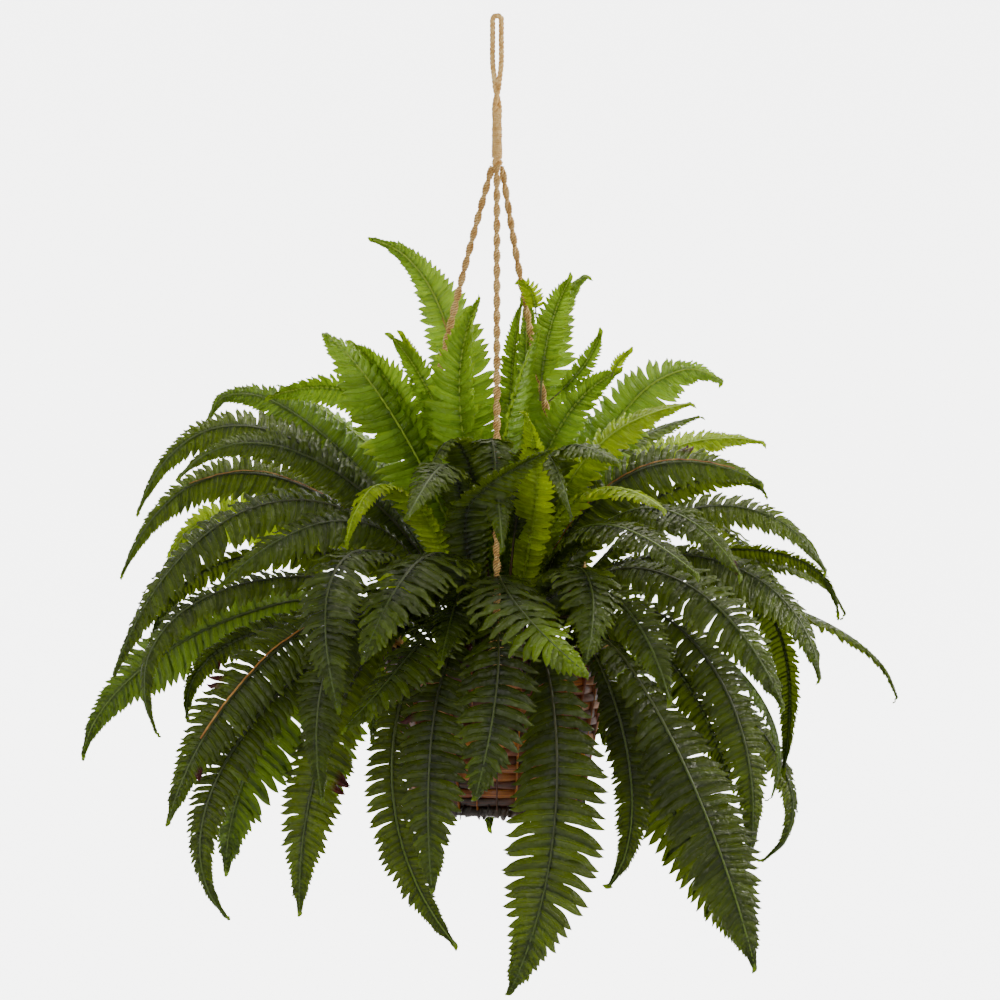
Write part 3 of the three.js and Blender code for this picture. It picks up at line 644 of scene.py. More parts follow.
class Frond:
    """A frond's middle line with the direction out of its upper face, and how far its leaflets reach."""

    def __init__(self, line, ups, leaf_start):
        self.line, self.ups, self.places = line, ups, [0.0]
        for a, b in zip(line, line[1:]):
            self.places.append(self.places[-1] + (b - a).length)
        self.length = self.places[-1]
        self.leaf_start = self.places[leaf_start]

    def at(self, place):
        """Position, tangent, side and up at a distance along the line."""
        place = min(max(place, 0.0), self.length)
        i = 0
        while i < len(self.places) - 2 and self.places[i + 1] < place:
            i += 1
        t = (place - self.places[i]) / (self.places[i + 1] - self.places[i])
        spot = self.line[i].lerp(self.line[i + 1], t)
        ahead = self.line[min(i + 2, len(self.line) - 1)] - self.line[i + 1]
        here = self.line[i + 1] - self.line[i]
        behind = here if i == 0 else self.line[i] - self.line[i - 1]
        tangent = (behind + here).normalized().lerp((here + ahead).normalized(), t).normalized()
        up = self.ups[i].lerp(self.ups[i + 1], t)
        up = (up - tangent * up.dot(tangent)).normalized()
        return spot, tangent, tangent.cross(up) * -1, up

    def measure(self, tips):
        """Reads the reach of the leaflets from tips of (position, first knot, last knot).

        A leaflet stands between its two knots of the line. Tips that lie off this frond belong to another one.
        """
        self.reaches = []
        for tip, first, last in tips:
            best = (inf, 0.0, 0.0)
            for k in range(25):
                place = self.places[first] + (self.places[last] - self.places[first]) * k / 24
                spot, tangent, side, up = self.at(place)
                out = abs((tip - spot).dot(side))
                miss = abs((tip - spot).dot(tangent) - LEAN * out) + abs((tip - spot).dot(up) + DROOP * out)
                if miss < best[0]:
                    best = (miss, place, out)
            if best[0] < 0.02 and best[2] > 0.003:
                self.reaches.append(best[1:])
        self.reaches.sort()
        self.width = 2 * max(reach for _, reach in self.reaches)

    def reach(self, place):
        """How far leaflets reach to each side at a distance along the line."""
        known = self.reaches
        if place <= known[0][0]:
            return known[0][1]
        for (a, x), (b, y) in zip(known, known[1:]):
            if place <= b:
                return x if b == a else x + (y - x) * (place - a) / (b - a)
        return known[-1][1]


def walk(groups, joined, tips, apex, collar):
    """The rib's groups from the soil to the apex, found by going on as straight as they allow.

    A way that has begun to fall towards the soil doesn't climb again, into another frond of the same root.
    """
    centres = {key: centre_of(points) for key, points in groups.items()}
    chain = [next(iter(joined[apex]))]
    last = centres[apex]
    while (centres[chain[-1]] - collar).length > NEAR_COLLAR:
        here = centres[chain[-1]]
        heading = (here - last).normalized()
        onward = [key for key in joined[chain[-1]] - tips - set(chain) if len(groups[key]) > 2]
        onward = [key for key in onward if (centres[key] - here).length > 0.01]
        if heading.z < -0.5:
            onward = [key for key in onward if centres[key].z < here.z]
        if not onward:
            break
        last = here
        chain.append(max(onward, key=lambda key: heading.dot((centres[key] - here).normalized())))
    return [key for key in reversed(chain) if (centres[key] - collar).length > NEAR_COLLAR]


def read_ups(groups, joined, tips, chain, knots):
    """The direction out of the upper face at each of the chain's groups."""
    ups = []
    droop = 0.0
    for i, key in enumerate(chain):
        if len(groups[key]) != 4:
            ups.append(ups[-1] if ups else None)
            continue
        corners = sorted(groups[key], key=lambda p: (p - groups[key][0]).length)
        up = (knots[i + 3] - knots[i + 1]).cross(corners[2] - corners[0]).normalized()
        known = [other for other in ups if other is not None]
        if known and up.dot(known[-1]) < 0:
            up = -up
        ups.append(up)
        for tip in joined[key] & tips:
            droop += (centre_of(groups[tip]) - centre_of(groups[key])).dot(up)
    first = next(up for up in ups if up is not None)
    ups = [up or first for up in ups]
    return [-up for up in ups] if droop > 0 else ups


def read_fronds(name):
    """The fronds of one CAD node, each walked between its apex and the soil."""
    groups, joined, tips = sections_of(name)
    foot = centre_of([p for ps in groups.values() for p in ps if abs(p.z - FOOT_Z) < 0.0008 and p.xy.length < 0.1])
    collar = Vector((foot.x, foot.y, COLLAR_Z))
    fronds = []
    for apex in tips:
        if len(joined[apex]) != 1 or joined[apex] & tips:
            continue
        chain = walk(groups, joined, tips, apex, collar)
        if sum(len(groups[key]) == 4 for key in chain) < 3:
            continue
        knots = [foot, collar] + [centre_of(groups[key]) for key in chain] + [centre_of(groups[apex])]
        ups = read_ups(groups, joined, tips - {apex}, chain, knots)
        ups = [ups[0], ups[0]] + ups + [ups[-1]]
        ups = [a.lerp(b, i / LINE_STEPS) for a, b in zip(ups, ups[1:]) for i in range(LINE_STEPS)] + [ups[-1]]
        places = {}
        for i, key in enumerate(chain):
            for tip in joined[key] & tips - {apex}:
                if len(groups[key]) == 4:
                    places.setdefault(tip, []).append(i + 2)
        frond = Frond(smooth_line(knots, LINE_STEPS), ups, min(map(min, places.values())) * LINE_STEPS)
        lasts = {tip: max(own) if len(own) > 1 else own[0] + 1 for tip, own in places.items()}
        spots = [(centre_of(groups[tip]), last * LINE_STEPS) for tip, last in lasts.items()]
        frond.measure([(spot, last - LINE_STEPS, last) for spot, last in spots])
        fronds.append(frond)
    if not fronds:
        raise RuntimeError(f"{name} has no frond that can be followed from its apex")
    return sorted(fronds, key=lambda frond: frond.line[-1].x)


# ---- Fronds

# Half of a leaflet's outline: part of its length, half of its width. The base is rounded, the tip a soft point.
LEAFLET_OUTLINE = [
    (0.0, 0.52), (0.10, 0.525), (0.20, 0.515), (0.30, 0.51), (0.50, 0.50), (0.58, 0.49),
    (0.66, 0.465), (0.74, 0.42), (0.82, 0.34), (0.91, 0.21), (1.0, 0.008),
]
LANES = (-1, -0.52, 0, 0.52, 1)  # across a leaflet
LEAFLET_VARIETIES = 5

# Fronds that hang in the shade of the others: painted shade gives them the darkest blade finish and darker leaflets
SHADED_FRONDS = ("fronds_right_long", "fronds_right_near", "frond_left_hang")

# Young fronds that fill the crown: CAD node, root, highest point, tip, width (mm) and roll (degrees)
SPRIGS = [
    ("fronds_up_left", (-30, 20, -640), (-122, 0, -456), (-262, -5, -436), 62, 60),
    ("fronds_up_left", (-20, 10, -640), (-83, 0, -482), (-167, -5, -374), 66, 85),
    ("fronds_up_left", (-20, 10, -600), (-68, -5, -452), (-122, -10, -366), 46, 85),
    ("fronds_up_right", (20, 30, -640), (66, 15, -482), (140, 5, -406), 60, -85),
    ("fronds_up_right", (15, 25, -560), (17, 10, -416), (29, 0, -328), 42, -85),
    ("fronds_up_right", (50, 5, -440), (60, 0, -362), (84, -5, -300), 42, -85),
    ("fronds_up_right", (60, 10, -440), (98, 10, -402), (119, 5, -362), 26, -80),
    ("fronds_middle_lime", (45, 0, -345), (40, 0, -316), (26, -5, -304), 26, 80),
    ("fronds_middle_lime", (132, 0, -412), (139, -2, -396), (152, -5, -384), 15, -80),
    ("fronds_middle_lime", (-83, 0, -407), (-98, -3, -384), (-109, -5, -364), 16, 80),
    ("fronds_front_left", (-10, -60, -640), (-42, -95, -492), (-84, -140, -552), 48, 20),
    ("fronds_front_left", (15, -60, -640), (42, -100, -500), (82, -150, -572), 48, -20),
    ("fronds_front_left", (0, -50, -640), (-6, -92, -486), (6, -156, -606), 52, 0),
    ("fronds_right_out", (30, 0, -640), (222, 0, -536), (308, -10, -547), 52, -35),
    ("fronds_right_far", (40, 0, -650), (300, 0, -612), (392, -5, -685), 38, -40),
    ("fronds_right_arc", (60, 10, -660), (288, 0, -655), (328, -20, -864), 48, -60),
    ("fronds_left_out", (-40, 0, -650), (-285, 0, -618), (-398, -10, -716), 50, 40),
    ("fronds_right_long", (60, -40, -690), (180, -60, -720), (266, -60, -878), 62, -50),
    ("fronds_right_long", (100, -70, -720), (192, -66, -892), (287, -62, -1066), 84, -75),
    ("fronds_left_chain", (-60, -40, -680), (-285, -50, -708), (-350, -60, -800), 52, 50),
]
SPRIG_REACH = [(0.0, 0.5), (0.3, 0.9), (0.55, 1.0), (0.8, 0.7), (1.0, 0.15)]  # (part of its length, of its half width)

# Tips that have dried red brown, as (x, z) seen from the front
DRY_TIPS = [
    (-0.033, -0.716), (-0.115, -0.799), (-0.140, -0.890), (0.160, -0.806), (0.080, -0.648),
    (0.265, -0.630), (0.240, -0.740), (-0.310, -0.578), (-0.340, -0.630), (-0.320, -0.748),
    (-0.315, -0.850), (-0.170, -0.870), (0.012, -0.940), (0.190, -0.985), (0.213, -0.485),
]
DRY_RADIUS = 0.011
SHORTEST_PITCH = 0.0034  # between leaflets at a frond's tip


def leaflet_mesh(name, hand, dice):
    """One leaflet along +X, 1 long and 1 wide: puckered between its side veins, its tip swept forward."""
    points, blade, faces = [], [], []
    phase, curl, sway = dice.uniform(0, tau), dice.uniform(0.14, 0.26), dice.uniform(0.6, 1.2)
    waves = dice.uniform(1.8, 3.0)
    for x, half in LEAFLET_OUTLINE:
        for lane in LANES:
            pucker = 0.115 * sway * sin(tau * waves * x + phase + 0.9 * lane) * min(1, 4 * x)
            ripple = 0.05 * sway * sin(tau * 1.7 * waves * x + 2 * phase + 2 * lane) * lane * lane
            arch = 0.24 * sin(pi * min(1, x * 1.05)) - 0.14 * x
            groove = 0.07 * min(1, abs(lane) / 0.52) * min(1, 5 * x) * (1 - x)
            sweep = 0.08 * x + 0.34 * smoothstep(x, 0.5, 1.0)
            points.append((x, lane * half - hand * sweep, arch + groove - curl * lane * lane + pucker + ripple))
            blade.append((x, lane, 0.0))
    width = len(LANES)
    for corner in range(len(points) - width):
        if corner % width < width - 1:
            faces.append((corner, corner + width, corner + width + 1, corner + 1))
    return new_object(name, points, (), faces, blade=blade)


def leaflet_shapes():
    """A collection of leaflet shapes: first those for one side of the rib, then those for the other."""
    shapes = bpy.data.collections.new("leaflet_shapes")
    dice = random.Random(11)
    for i in range(2 * LEAFLET_VARIETIES):
        shape = leaflet_mesh(f"leaflet_{i:02d}", 1 if i < LEAFLET_VARIETIES else -1, dice)
        bpy.context.scene.collection.objects.unlink(shape)
        shapes.objects.link(shape)
    return shapes


def remove_shapes(shapes):
    for shape in list(shapes.objects):
        bpy.data.objects.remove(shape)
    bpy.data.collections.remove(shapes)


def lightness(z):
    """How light the leaflets are by height: young fronds at the top are paler, and painted light and shade adds to it,
    lighter at the top where light falls from above and darker low down in the shade of the other fronds.
    """
    return 0.22 + 0.5 * smoothstep(z, -0.82, -0.42)


class FrondLook:
    """Collects the control points of one CAD node's fronds: the ribs' lines and the leaflets' places."""

    PLAIN = {"leaf": 0.0, "girth": 0.0, "variety": 0, "tint": 0.5, "young": 0.0, "dry": 0.0}
    PLAIN |= {"aim": Vector((1, 0, 0)), "face": UP, "size": Vector((1, 1, 1))}

    def __init__(self):
        self.points, self.edges = [], []
        self.rows = {key: [] for key in self.PLAIN}

    def put(self, point, **values):
        self.points.append(point)
        for key, row in self.rows.items():
            row.append(values.get(key, self.PLAIN[key]))

    def add_rib(self, frond, thick):
        first = len(self.points)
        count = max(10, round(frond.length / 0.012))
        for i in range(count + 1):
            t = i / count
            self.put(frond.at(frond.length * i / count)[0], girth=thick * (1 - 0.62 * t) + 0.0003, young=t)
        self.edges += [(first + i, first + i + 1) for i in range(count)]

    def add_leaflets(self, frond, props, lime_tip, shaded, dice):
        pitch_full = props.pitch_share * frond.width + props.pitch_base
        start = frond.leaf_start - min(0.09, 0.6 * max(0.0, frond.leaf_start - 0.02))
        span = frond.length - frond.leaf_start
        place = start
        while place < frond.length - 0.003:
            t = (place - frond.leaf_start) / span
            pitch = max(SHORTEST_PITCH, pitch_full * (1 - 0.55 * smoothstep(t, 0.45, 1.0)))
            reach = frond.reach(place)
            if t < 0:
                pitch *= 0.9
                reach *= 0.4 + 0.6 * (place - start) / (frond.leaf_start - start)
            reach *= 1 - 0.55 * smoothstep(t, 0.9, 1.0)
            spot, tangent, side, up = frond.at(place)
            # Painted light and shade: leaflets lighter high up, darker low down, and 0.2 darker on shaded fronds
            light = lightness(spot.z) - (0.2 if shaded else 0)
            for hand in (1, -1):
                fore = LEAN + 0.1 * dice.uniform(-1, 1) + 0.75 * smoothstep(t, 0.55, 1.0)
                drop = DROOP + 0.10 * dice.uniform(-1, 1)
                aim = side * hand + tangent * fore - up * drop
                length = reach * aim.length * dice.uniform(1.0, 1.1)
                if fore > 0.35:
                    length /= 1 + 0.35 * (fore - 0.35)
                face = up + tangent * dice.uniform(-0.32, -0.12) + side * hand * drop + side * dice.uniform(-0.08, 0.08)
                width = pitch * (1.08 + 0.24 * smoothstep(t, 0.35, 0.9)) * dice.uniform(0.95, 1.05)
                aim.normalize()
                tip = spot + aim * length
                dry = min(((tip.x - x) ** 2 + (tip.z - z) ** 2) ** 0.5 for x, z in DRY_TIPS)
                young = 0.30 * smoothstep(t, 0.6, 1.0) + (0.75 * smoothstep(t, 0.42, 0.8) if lime_tip else 0)
                tuck = min(0.0022, 0.2 * length)
                self.put(
                    spot - aim * tuck - up * 0.0003,
                    leaf=1.0,
                    variety=(0 if hand > 0 else LEAFLET_VARIETIES) + dice.randrange(LEAFLET_VARIETIES),
                    tint=light + 0.24 * dice.uniform(-1, 1),
                    young=young * dice.uniform(0.7, 1.0),
                    dry=1.0 if dry < DRY_RADIUS and tip.y < 0 and dice.random() < 0.5 else 0.0,
                    aim=aim,
                    face=face,
                    size=Vector((length + tuck, width, width)),
                )
            place += pitch * (0.96 + 0.08 * dice.random())
        spot, tangent, _, up = frond.at(frond.length)
        size = Vector((0.012, 0.006, 0.006))
        self.put(spot - tangent * 0.004, leaf=1.0, young=0.4, aim=tangent - up * 0.2, face=up, size=size)


def sprig(root, top, tip, width, roll):
    """A young frond between the others, on a curve from its root over its highest point to its tip."""
    root, top, tip = (Vector(point) * 0.001 for point in (root, top, tip))
    line = bezier_line(root, 2 * top - (root + tip) / 2, tip, 24)
    away = Vector((tip.x - root.x, tip.y - root.y, 0)).normalized()
    ups = []
    for i in range(len(line)):
        tangent = (line[min(i + 1, len(line) - 1)] - line[max(i - 1, 0)]).normalized()
        up = tangent.cross(UP.cross(away)).normalized()
        ups.append(up * cos(radians(roll)) + tangent.cross(up) * sin(radians(roll)))
    frond = Frond(line, ups, round(0.2 * len(line)))
    frond.width = 0.001 * width
    frond.reaches = [(frond.length * t, 0.5 * frond.width * share) for t, share in SPRIG_REACH]
    return frond


METRES = {"subtype": "DISTANCE", "unit": "LENGTH"}


def setting(name, description, default, **kind):
    """A property: a whole number where its default is one."""
    make = bpy.props.IntProperty if isinstance(default, int) else bpy.props.FloatProperty
    return make(name=name, description=description, default=default, **kind)


class FrondSettings(bpy.types.PropertyGroup):
    pitch_share: setting("Pitch share", "Leaflet spacing as a share of the frond's width", 0.105, min=0.05, max=0.3)
    pitch_base: setting("Pitch base", "Added to the leaflet spacing", 0.0016, **METRES)
    rib_radius: setting("Rib radius", "Radius of a frond's stalk at the soil", 0.0017, **METRES)
    seed: setting("Seed", "Changes the leaflets' small differences", 4, min=0)


class FERN_OT_fronds(bpy.types.Operator):
    """Builds every frond, with its stalk and leaflets, on the line of its CAD node"""

    bl_idname = "fern.fronds"
    bl_label = "Build fronds"

    def execute(self, context):
        props = context.scene.fern_fronds
        shapes = leaflet_shapes()
        slots = {entry["node"]: entry["material_slot"] for entry in frame["record"]["subparts"]}
        for number, name in enumerate(sorted(frame["nodes"])):
            if not name.startswith("frond"):
                continue
            dice = random.Random(props.seed * 1000 + number)
            shaded_frond = name in SHADED_FRONDS
            look = FrondLook()
            for frond in read_fronds(name) + [sprig(*row) for node, *row in SPRIGS if node == name]:
                look.add_rib(frond, min(props.rib_radius, 0.032 * frond.width))
                look.add_leaflets(frond, props, name == "frond_hero", shaded_frond, dice)
            obj = new_object("leaves_" + name.split("_", 1)[1], look.points, look.edges, (), **look.rows)
            slot = slots[name]
            rib = finish("rib_" + slot.split("_")[1], rib_look, *RIB_TONES[slot])
            # Painted shade: a shaded frond takes the dark blade finish
            blade = "leaf_dark" if shaded_frond else slot
            leaf = finish(blade, leaf_look, *LEAF_TONES[blade])
            run_nodes(obj, "Frond", Leaflets=shapes, Rib_Material=rib, Leaf_Material=leaf)
            settle(slot, [name], obj)
        remove_shapes(shapes)
        return {"FINISHED"}


# ---- Runners


def read_runner(name):
    """The middle line of a runner's CAD node, from the soil to its end."""
    groups, joined, _ = sections_of(name)
    rings = {key: centre_of(points) for key, points in groups.items() if len(points) == 3}
    current = min(rings, key=lambda key: rings[key].z)
    chain = []
    while current is not None:
        chain.append(current)
        onward = [key for key in joined[current] if key in rings and key not in chain]
        current = min(onward, key=lambda key: (rings[key] - rings[current]).length, default=None)
    return [rings[key] for key in chain]


class FERN_OT_runners(bpy.types.Operator):
    """Builds the wiry runners that lie along some fronds"""

    bl_idname = "fern.runners"
    bl_label = "Build runners"

    def execute(self, context):
        for number, name in enumerate(sorted(frame["nodes"])):
            if not name.startswith("runner"):
                continue
            dice = random.Random(number)
            line = smooth_line(read_runner(name), 6)
            for point in line[8:]:
                point += Vector((dice.uniform(-1, 1), dice.uniform(-1, 1), dice.uniform(-1, 1))) * 0.0005
            girth = [1 - 0.45 * i / (len(line) - 1) for i in range(len(line))]
            look = finish("runner", runner_look)
            settle("runner", [name], strand(name + "_stem", [(line, girth)], 0.004, 0.001, look=look, Sides=6))
        return {"FINISHED"}


# ---- Ropes and knots


HAIR_STEP, HAIR_RADIUS, HAIRS_PER_ROPE = 0.002, 0.0002, 130
LASH_REACH = 0.0036  # from the rim to the middle of the cord that is lashed round it
LASH_TURNS, LASH_STEPS = 3, 20


def knot_centre(azimuth):
    return polar(RIM_RADIUS + 0.005, azimuth, RIM_Z + 0.0004 + KNOT_HEIGHT / 2)


def fray(centre, radius, count, length, dice, drop=0.0):
    """Loose fibres that stand out of a knot: short bent lines that taper to nothing."""
    lines = []
    for _ in range(count):
        way = Vector((dice.gauss(0, 1), dice.gauss(0, 1), dice.gauss(0, 1) - drop)).normalized()
        bend = Vector((dice.gauss(0, 1), dice.gauss(0, 1), dice.gauss(0, 1) - drop)).normalized()
        reach = length * dice.uniform(0.4, 1.0)
        steps = (0, 0.25, 0.5, 0.75, 1)
        line = [centre + way * radius * 0.7 + way * reach * t + bend * reach * 0.5 * t * t for t in steps]
        lines.append((line, [1.0, 0.9, 0.7, 0.45, 0.1]))
    return lines


def hairs(lines):
    return strand("hairs", lines, HAIR_STEP, HAIR_RADIUS, Sides=3)


def knot_line(centre, wide, high, turns, lean=0.0, across="X", steps=110):
    """A cord's line that winds over and under itself into a round knot."""
    line = []
    for i in range(steps + 1):
        t = tau * i / steps
        radius = wide * (0.68 + 0.32 * cos(turns * t))
        point = Vector((radius * cos(2 * t), radius * sin(2 * t), high * sin(turns * t)))
        line.append(centre + (Matrix.Rotation(lean, 3, across) @ point if lean else point))
    return line


class RopeSettings(bpy.types.PropertyGroup):
    ply_radius: setting("Ply radius", "Radius of each of a rope's two plies", 0.0023, **METRES)
    pitch: setting("Pitch", "Length of a full turn of the plies", 0.036, **METRES)
    seed: setting("Seed", "Changes the loose fibres", 7, min=0)


class FERN_OT_ropes(bpy.types.Operator):
    """Builds the three ropes, each of two plies of three yarns wound round each other"""

    bl_idname = "fern.ropes"
    bl_label = "Build ropes"

    def execute(self, context):
        props = context.scene.fern_ropes
        plies = {"Plies": 2, "Ply_Offset": props.ply_radius * 0.96, "Ply_Turns": 1 / props.pitch}
        yarns = {"Lobes": 3.0, "Lobe_Depth": 0.16, "Yarn_Turns": 95.0, "Sides": 12}
        for name, (azimuth, push) in ROPE_ROUTES.items():
            start = polar(ROPE_START_RADIUS, azimuth, ROPE_START_Z)
            knot = knot_centre(azimuth)
            push = Vector(push)
            end = knot - (knot - push).normalized() * KNOT_HEIGHT * 0.3
            line = bezier_line(start, push, end, 60)
            rope = strand(f"jute_rope_{name}", [(line, 1.0)], 0.0013, props.ply_radius, **plies, **yarns)
            dice = random.Random(props.seed + azimuth)
            loose = []
            for _ in range(HAIRS_PER_ROPE):
                point = line[dice.randrange(3, len(line) - 3)]
                loose += fray(point, 0.0045, 1, 0.006, dice)
            settle("jute", [f"rope_{name}"], rope, hairs(loose))
        return {"FINISHED"}


class FERN_OT_hanger(bpy.types.Operator):
    """Builds the loop for the hook, the cord wound round its legs and the gathering knot"""

    bl_idname = "fern.hanger"
    bl_label = "Build hanger"

    def execute(self, context):
        twist = [(i, TWIST_BOTTOM_Z + (TWIST_TOP_Z - TWIST_BOTTOM_Z) * i / 4) for i in range(5)]
        route = [Vector((-0.0022, 0, TWIST_BOTTOM_Z - 0.008))]
        route += [polar(TWIST_OFFSET, 180 + 45 * i, z) for i, z in twist]
        route += [Vector((LEG_OFFSET, 0, -0.050)), Vector((LEG_OFFSET, 0, -0.024))]
        for angle in range(0, 181, 30):
            turn = radians(angle)
            route.append(Vector((LEG_OFFSET * cos(turn), 0, 0.003 - LEG_OFFSET + LEG_OFFSET * sin(turn))))
        route += [Vector((-LEG_OFFSET, 0, -0.024)), Vector((-LEG_OFFSET, 0, -0.050))]
        route += [polar(TWIST_OFFSET, 45 * i, z) for i, z in reversed(twist)]
        route.append(Vector((0.0022, 0, TWIST_BOTTOM_Z - 0.008)))
        plies = {"Plies": 3, "Ply_Offset": 0.0016, "Ply_Turns": 62.0}
        settle("jute", ["hang_loop"], strand("jute_loop", [(smooth_line(route, 6), 1.0)], 0.0012, 0.0018, **plies))

        # The binding lies in uneven turns, and its last turn ends in the gathering knot
        dice = random.Random(21)
        turns, steps = 21, 12
        line = []
        for i in range(turns * steps + 1):
            t = i / (turns * steps)
            z = BINDING_TOP_Z - 0.001 + (BINDING_BOTTOM_Z - BINDING_TOP_Z + 0.001) * t
            lump = 0.0008 * noise.noise(Vector((9 * t, 3.3, 0))) + 0.0002 * dice.uniform(-1, 1)
            line.append(polar(0.0047 + 0.0004 * t + lump, 360 * turns * t, z))
        plies = {"Plies": 2, "Ply_Offset": 0.0006, "Ply_Turns": 160.0}
        binding = strand("jute_binding", [(line, 1.0)], 0.0014, 0.0009, Sides=6, **plies)
        line = [Vector((0, 0, BINDING_TOP_Z - 0.0005)), Vector((0, 0, BINDING_BOTTOM_Z - 0.002))]
        settle("jute", ["loop_binding"], binding, strand("core", [(line, 1.0)], 0.004, 0.0042, Sides=10))

        centre = Vector((0, 0, BINDING_BOTTOM_Z - 0.0054))
        line = knot_line(centre, 0.0052, 0.0030, 3)
        plies = {"Plies": 2, "Ply_Offset": 0.0009, "Ply_Turns": 110.0}
        knot = strand("jute_gathering_knot", [(line, 1.0)], 0.0012, 0.0012, Sides=7, **plies)
        settle("jute", ["gathering_knot"], knot, hairs(fray(centre, 0.006, 40, 0.008, dice)))
        return {"FINISHED"}


class FERN_OT_rim_knots(bpy.types.Operator):
    """Builds the knots that tie the ropes over the basket's rim, with their lashings and loose ends"""

    bl_idname = "fern.rim_knots"
    bl_label = "Build rim knots"

    def execute(self, context):
        for name, (azimuth, _) in ROPE_ROUTES.items():
            dice = random.Random(azimuth + 500)
            outward, along = polar(1, azimuth, 0), polar(1, azimuth + 90, 0)
            middle = polar(RIM_RADIUS, azimuth, RIM_Z - RIM_HEIGHT / 2)
            across, high = RIM_WIDTH / 2 + LASH_REACH, RIM_HEIGHT / 2 + LASH_REACH
            lash = []
            for i in range(LASH_TURNS * LASH_STEPS + 1):
                turn = tau * i / LASH_STEPS
                shift = -LASH_REACH + 2 * LASH_REACH * i / (LASH_TURNS * LASH_STEPS)
                lash.append(middle + outward * across * cos(turn) + UP * high * sin(turn) + along * shift)
            centre = knot_centre(azimuth)
            over = knot_line(centre, 0.0076, 0.0066, 3, radians(60), along)
            under = knot_line(centre, 0.0052, 0.0056, 3, radians(-25), outward)
            lines = [(lash, 1.0), (over, 1.1), (under, 1.0)]
            plies = {"Plies": 2, "Ply_Offset": 0.0011, "Ply_Turns": 75.0}
            knot = strand(f"jute_rim_knot_{name}", lines, 0.0015, 0.0015, **plies)

            # The loose end hangs outside the rim and opens into its yarns
            top = polar(RIM_RADIUS + RIM_WIDTH / 2 + 0.005, azimuth, RIM_Z - RIM_HEIGHT / 2 + 0.008)
            ends = []
            for k in range(9):
                turn = tau * k / 9
                spread = (outward * cos(turn) + along * sin(turn)) * 0.0024
                fall = dice.uniform(0.030, 0.044)
                line = []
                for i in range(9):
                    t = i / 8
                    sway = Vector((dice.uniform(-1, 1), dice.uniform(-1, 1), 0)) * 0.0007 * t
                    line.append(top + spread * (0.5 + 0.9 * t * t) - UP * fall * t + sway + along * 0.004 * t)
                ends.append((line, [1.0 - 0.5 * i / 8 for i in range(9)]))
            yarns = {"Lobes": 2.0, "Lobe_Depth": 0.2, "Yarn_Turns": 90.0, "Sides": 6}
            tail = strand("tail", ends, 0.003, 0.0011, **yarns)
            loose = hairs(fray(centre, 0.009, 55, 0.010, dice, 0.4))
            settle("jute", [f"rim_knot_{name}"], knot, tail, loose)
        return {"FINISHED"}


# ---- Basket, pot and soil


HALF_STRIP = 0.52  # half of a strip's width as a share of the strips' spacing, so that they overlap a little
FLOOR_STRIPS = 7.6  # across half of the floor


class BasketSettings(bpy.types.PropertyGroup):
    stakes: setting("Stakes", "Upright strips round the basket", 28, min=8)
    rows: setting("Rows", "Strips woven round the stakes", 16, min=4)
    weave: setting("Weave", "How far a strip swings in and out", 0.0017, **METRES)


def wall_radius(z):
    return BASE_RADIUS + (RIM_RADIUS - BASE_RADIUS) * (z - WALL_BOTTOM_Z) / (WALL_TOP_Z - WALL_BOTTOM_Z)


def cane(name):
    return finish(name, cane_look, *CANE_TONES[name])


class FERN_OT_basket(bpy.types.Operator):
    """Builds the woven wall and floor of the basket"""

    bl_idname = "fern.basket"
    bl_label = "Build basket"

    def execute(self, context):
        props = context.scene.fern_basket
        dice = random.Random(31)
        strips = []

        def add_strip(name, line, step, thick, wide, **details):
            strips.append(strand(name, [(line, 1.0)], step, thick, wide, cane("cane"), tint=dice.random(), **details))

        # Strips woven round: each swings out over one stake and in behind the next
        height = WALL_TOP_Z - WALL_BOTTOM_Z
        pitch = height / props.rows
        steps = props.stakes * 6
        for row in range(props.rows):
            middle = WALL_BOTTOM_Z + pitch * (row + 0.5)
            drift = dice.uniform(-1, 1) * 0.0006
            line = []
            for k in range(steps):
                turn = 360 * k / steps
                swing = props.weave * cos(radians(turn) * props.stakes / 2 + pi * row)
                z = middle + drift * sin(radians(turn) * 2 + row)
                line.append(polar(wall_radius(z) + swing, turn, z))
            add_strip(f"strip_{row}", line, 0.0052, 0.0015, pitch * HALF_STRIP, closed=True)
        for k in range(props.stakes):
            turn = 360 * k / props.stakes + dice.uniform(-0.6, 0.6)
            steps = props.rows * 2
            heights = [WALL_BOTTOM_Z - 0.004 + (height + 0.006) * i / steps for i in range(steps + 1)]
            add_strip(f"stake_{k}", [polar(wall_radius(z), turn, z) for z in heights], 0.006, 0.0012, 0.0042)

        # The floor is woven of two layers of strips that cross
        reach, spacing = BASE_RADIUS - 0.004, (BASE_RADIUS - 0.004) / FLOOR_STRIPS
        for layer in (0, 1):
            for i in range(-7, 8):
                across = reach * i / FLOOR_STRIPS
                half = (reach**2 - across**2) ** 0.5
                line = []
                for k in range(17):
                    place = half * (k / 8 - 1)
                    z = WALL_BOTTOM_Z - 0.0022 + 0.0011 * cos(place * pi / spacing + pi * (i + layer))
                    line.append(Vector((place, across, z) if layer else (across, place, z)))
                add_strip(f"floor_{layer}_{i}", line, 0.006, 0.0008, 0.0056, Sides=6)
        strips[0].name = "cane_wall"
        settle("cane", ["basket_wall"], *strips)
        return {"FINISHED"}


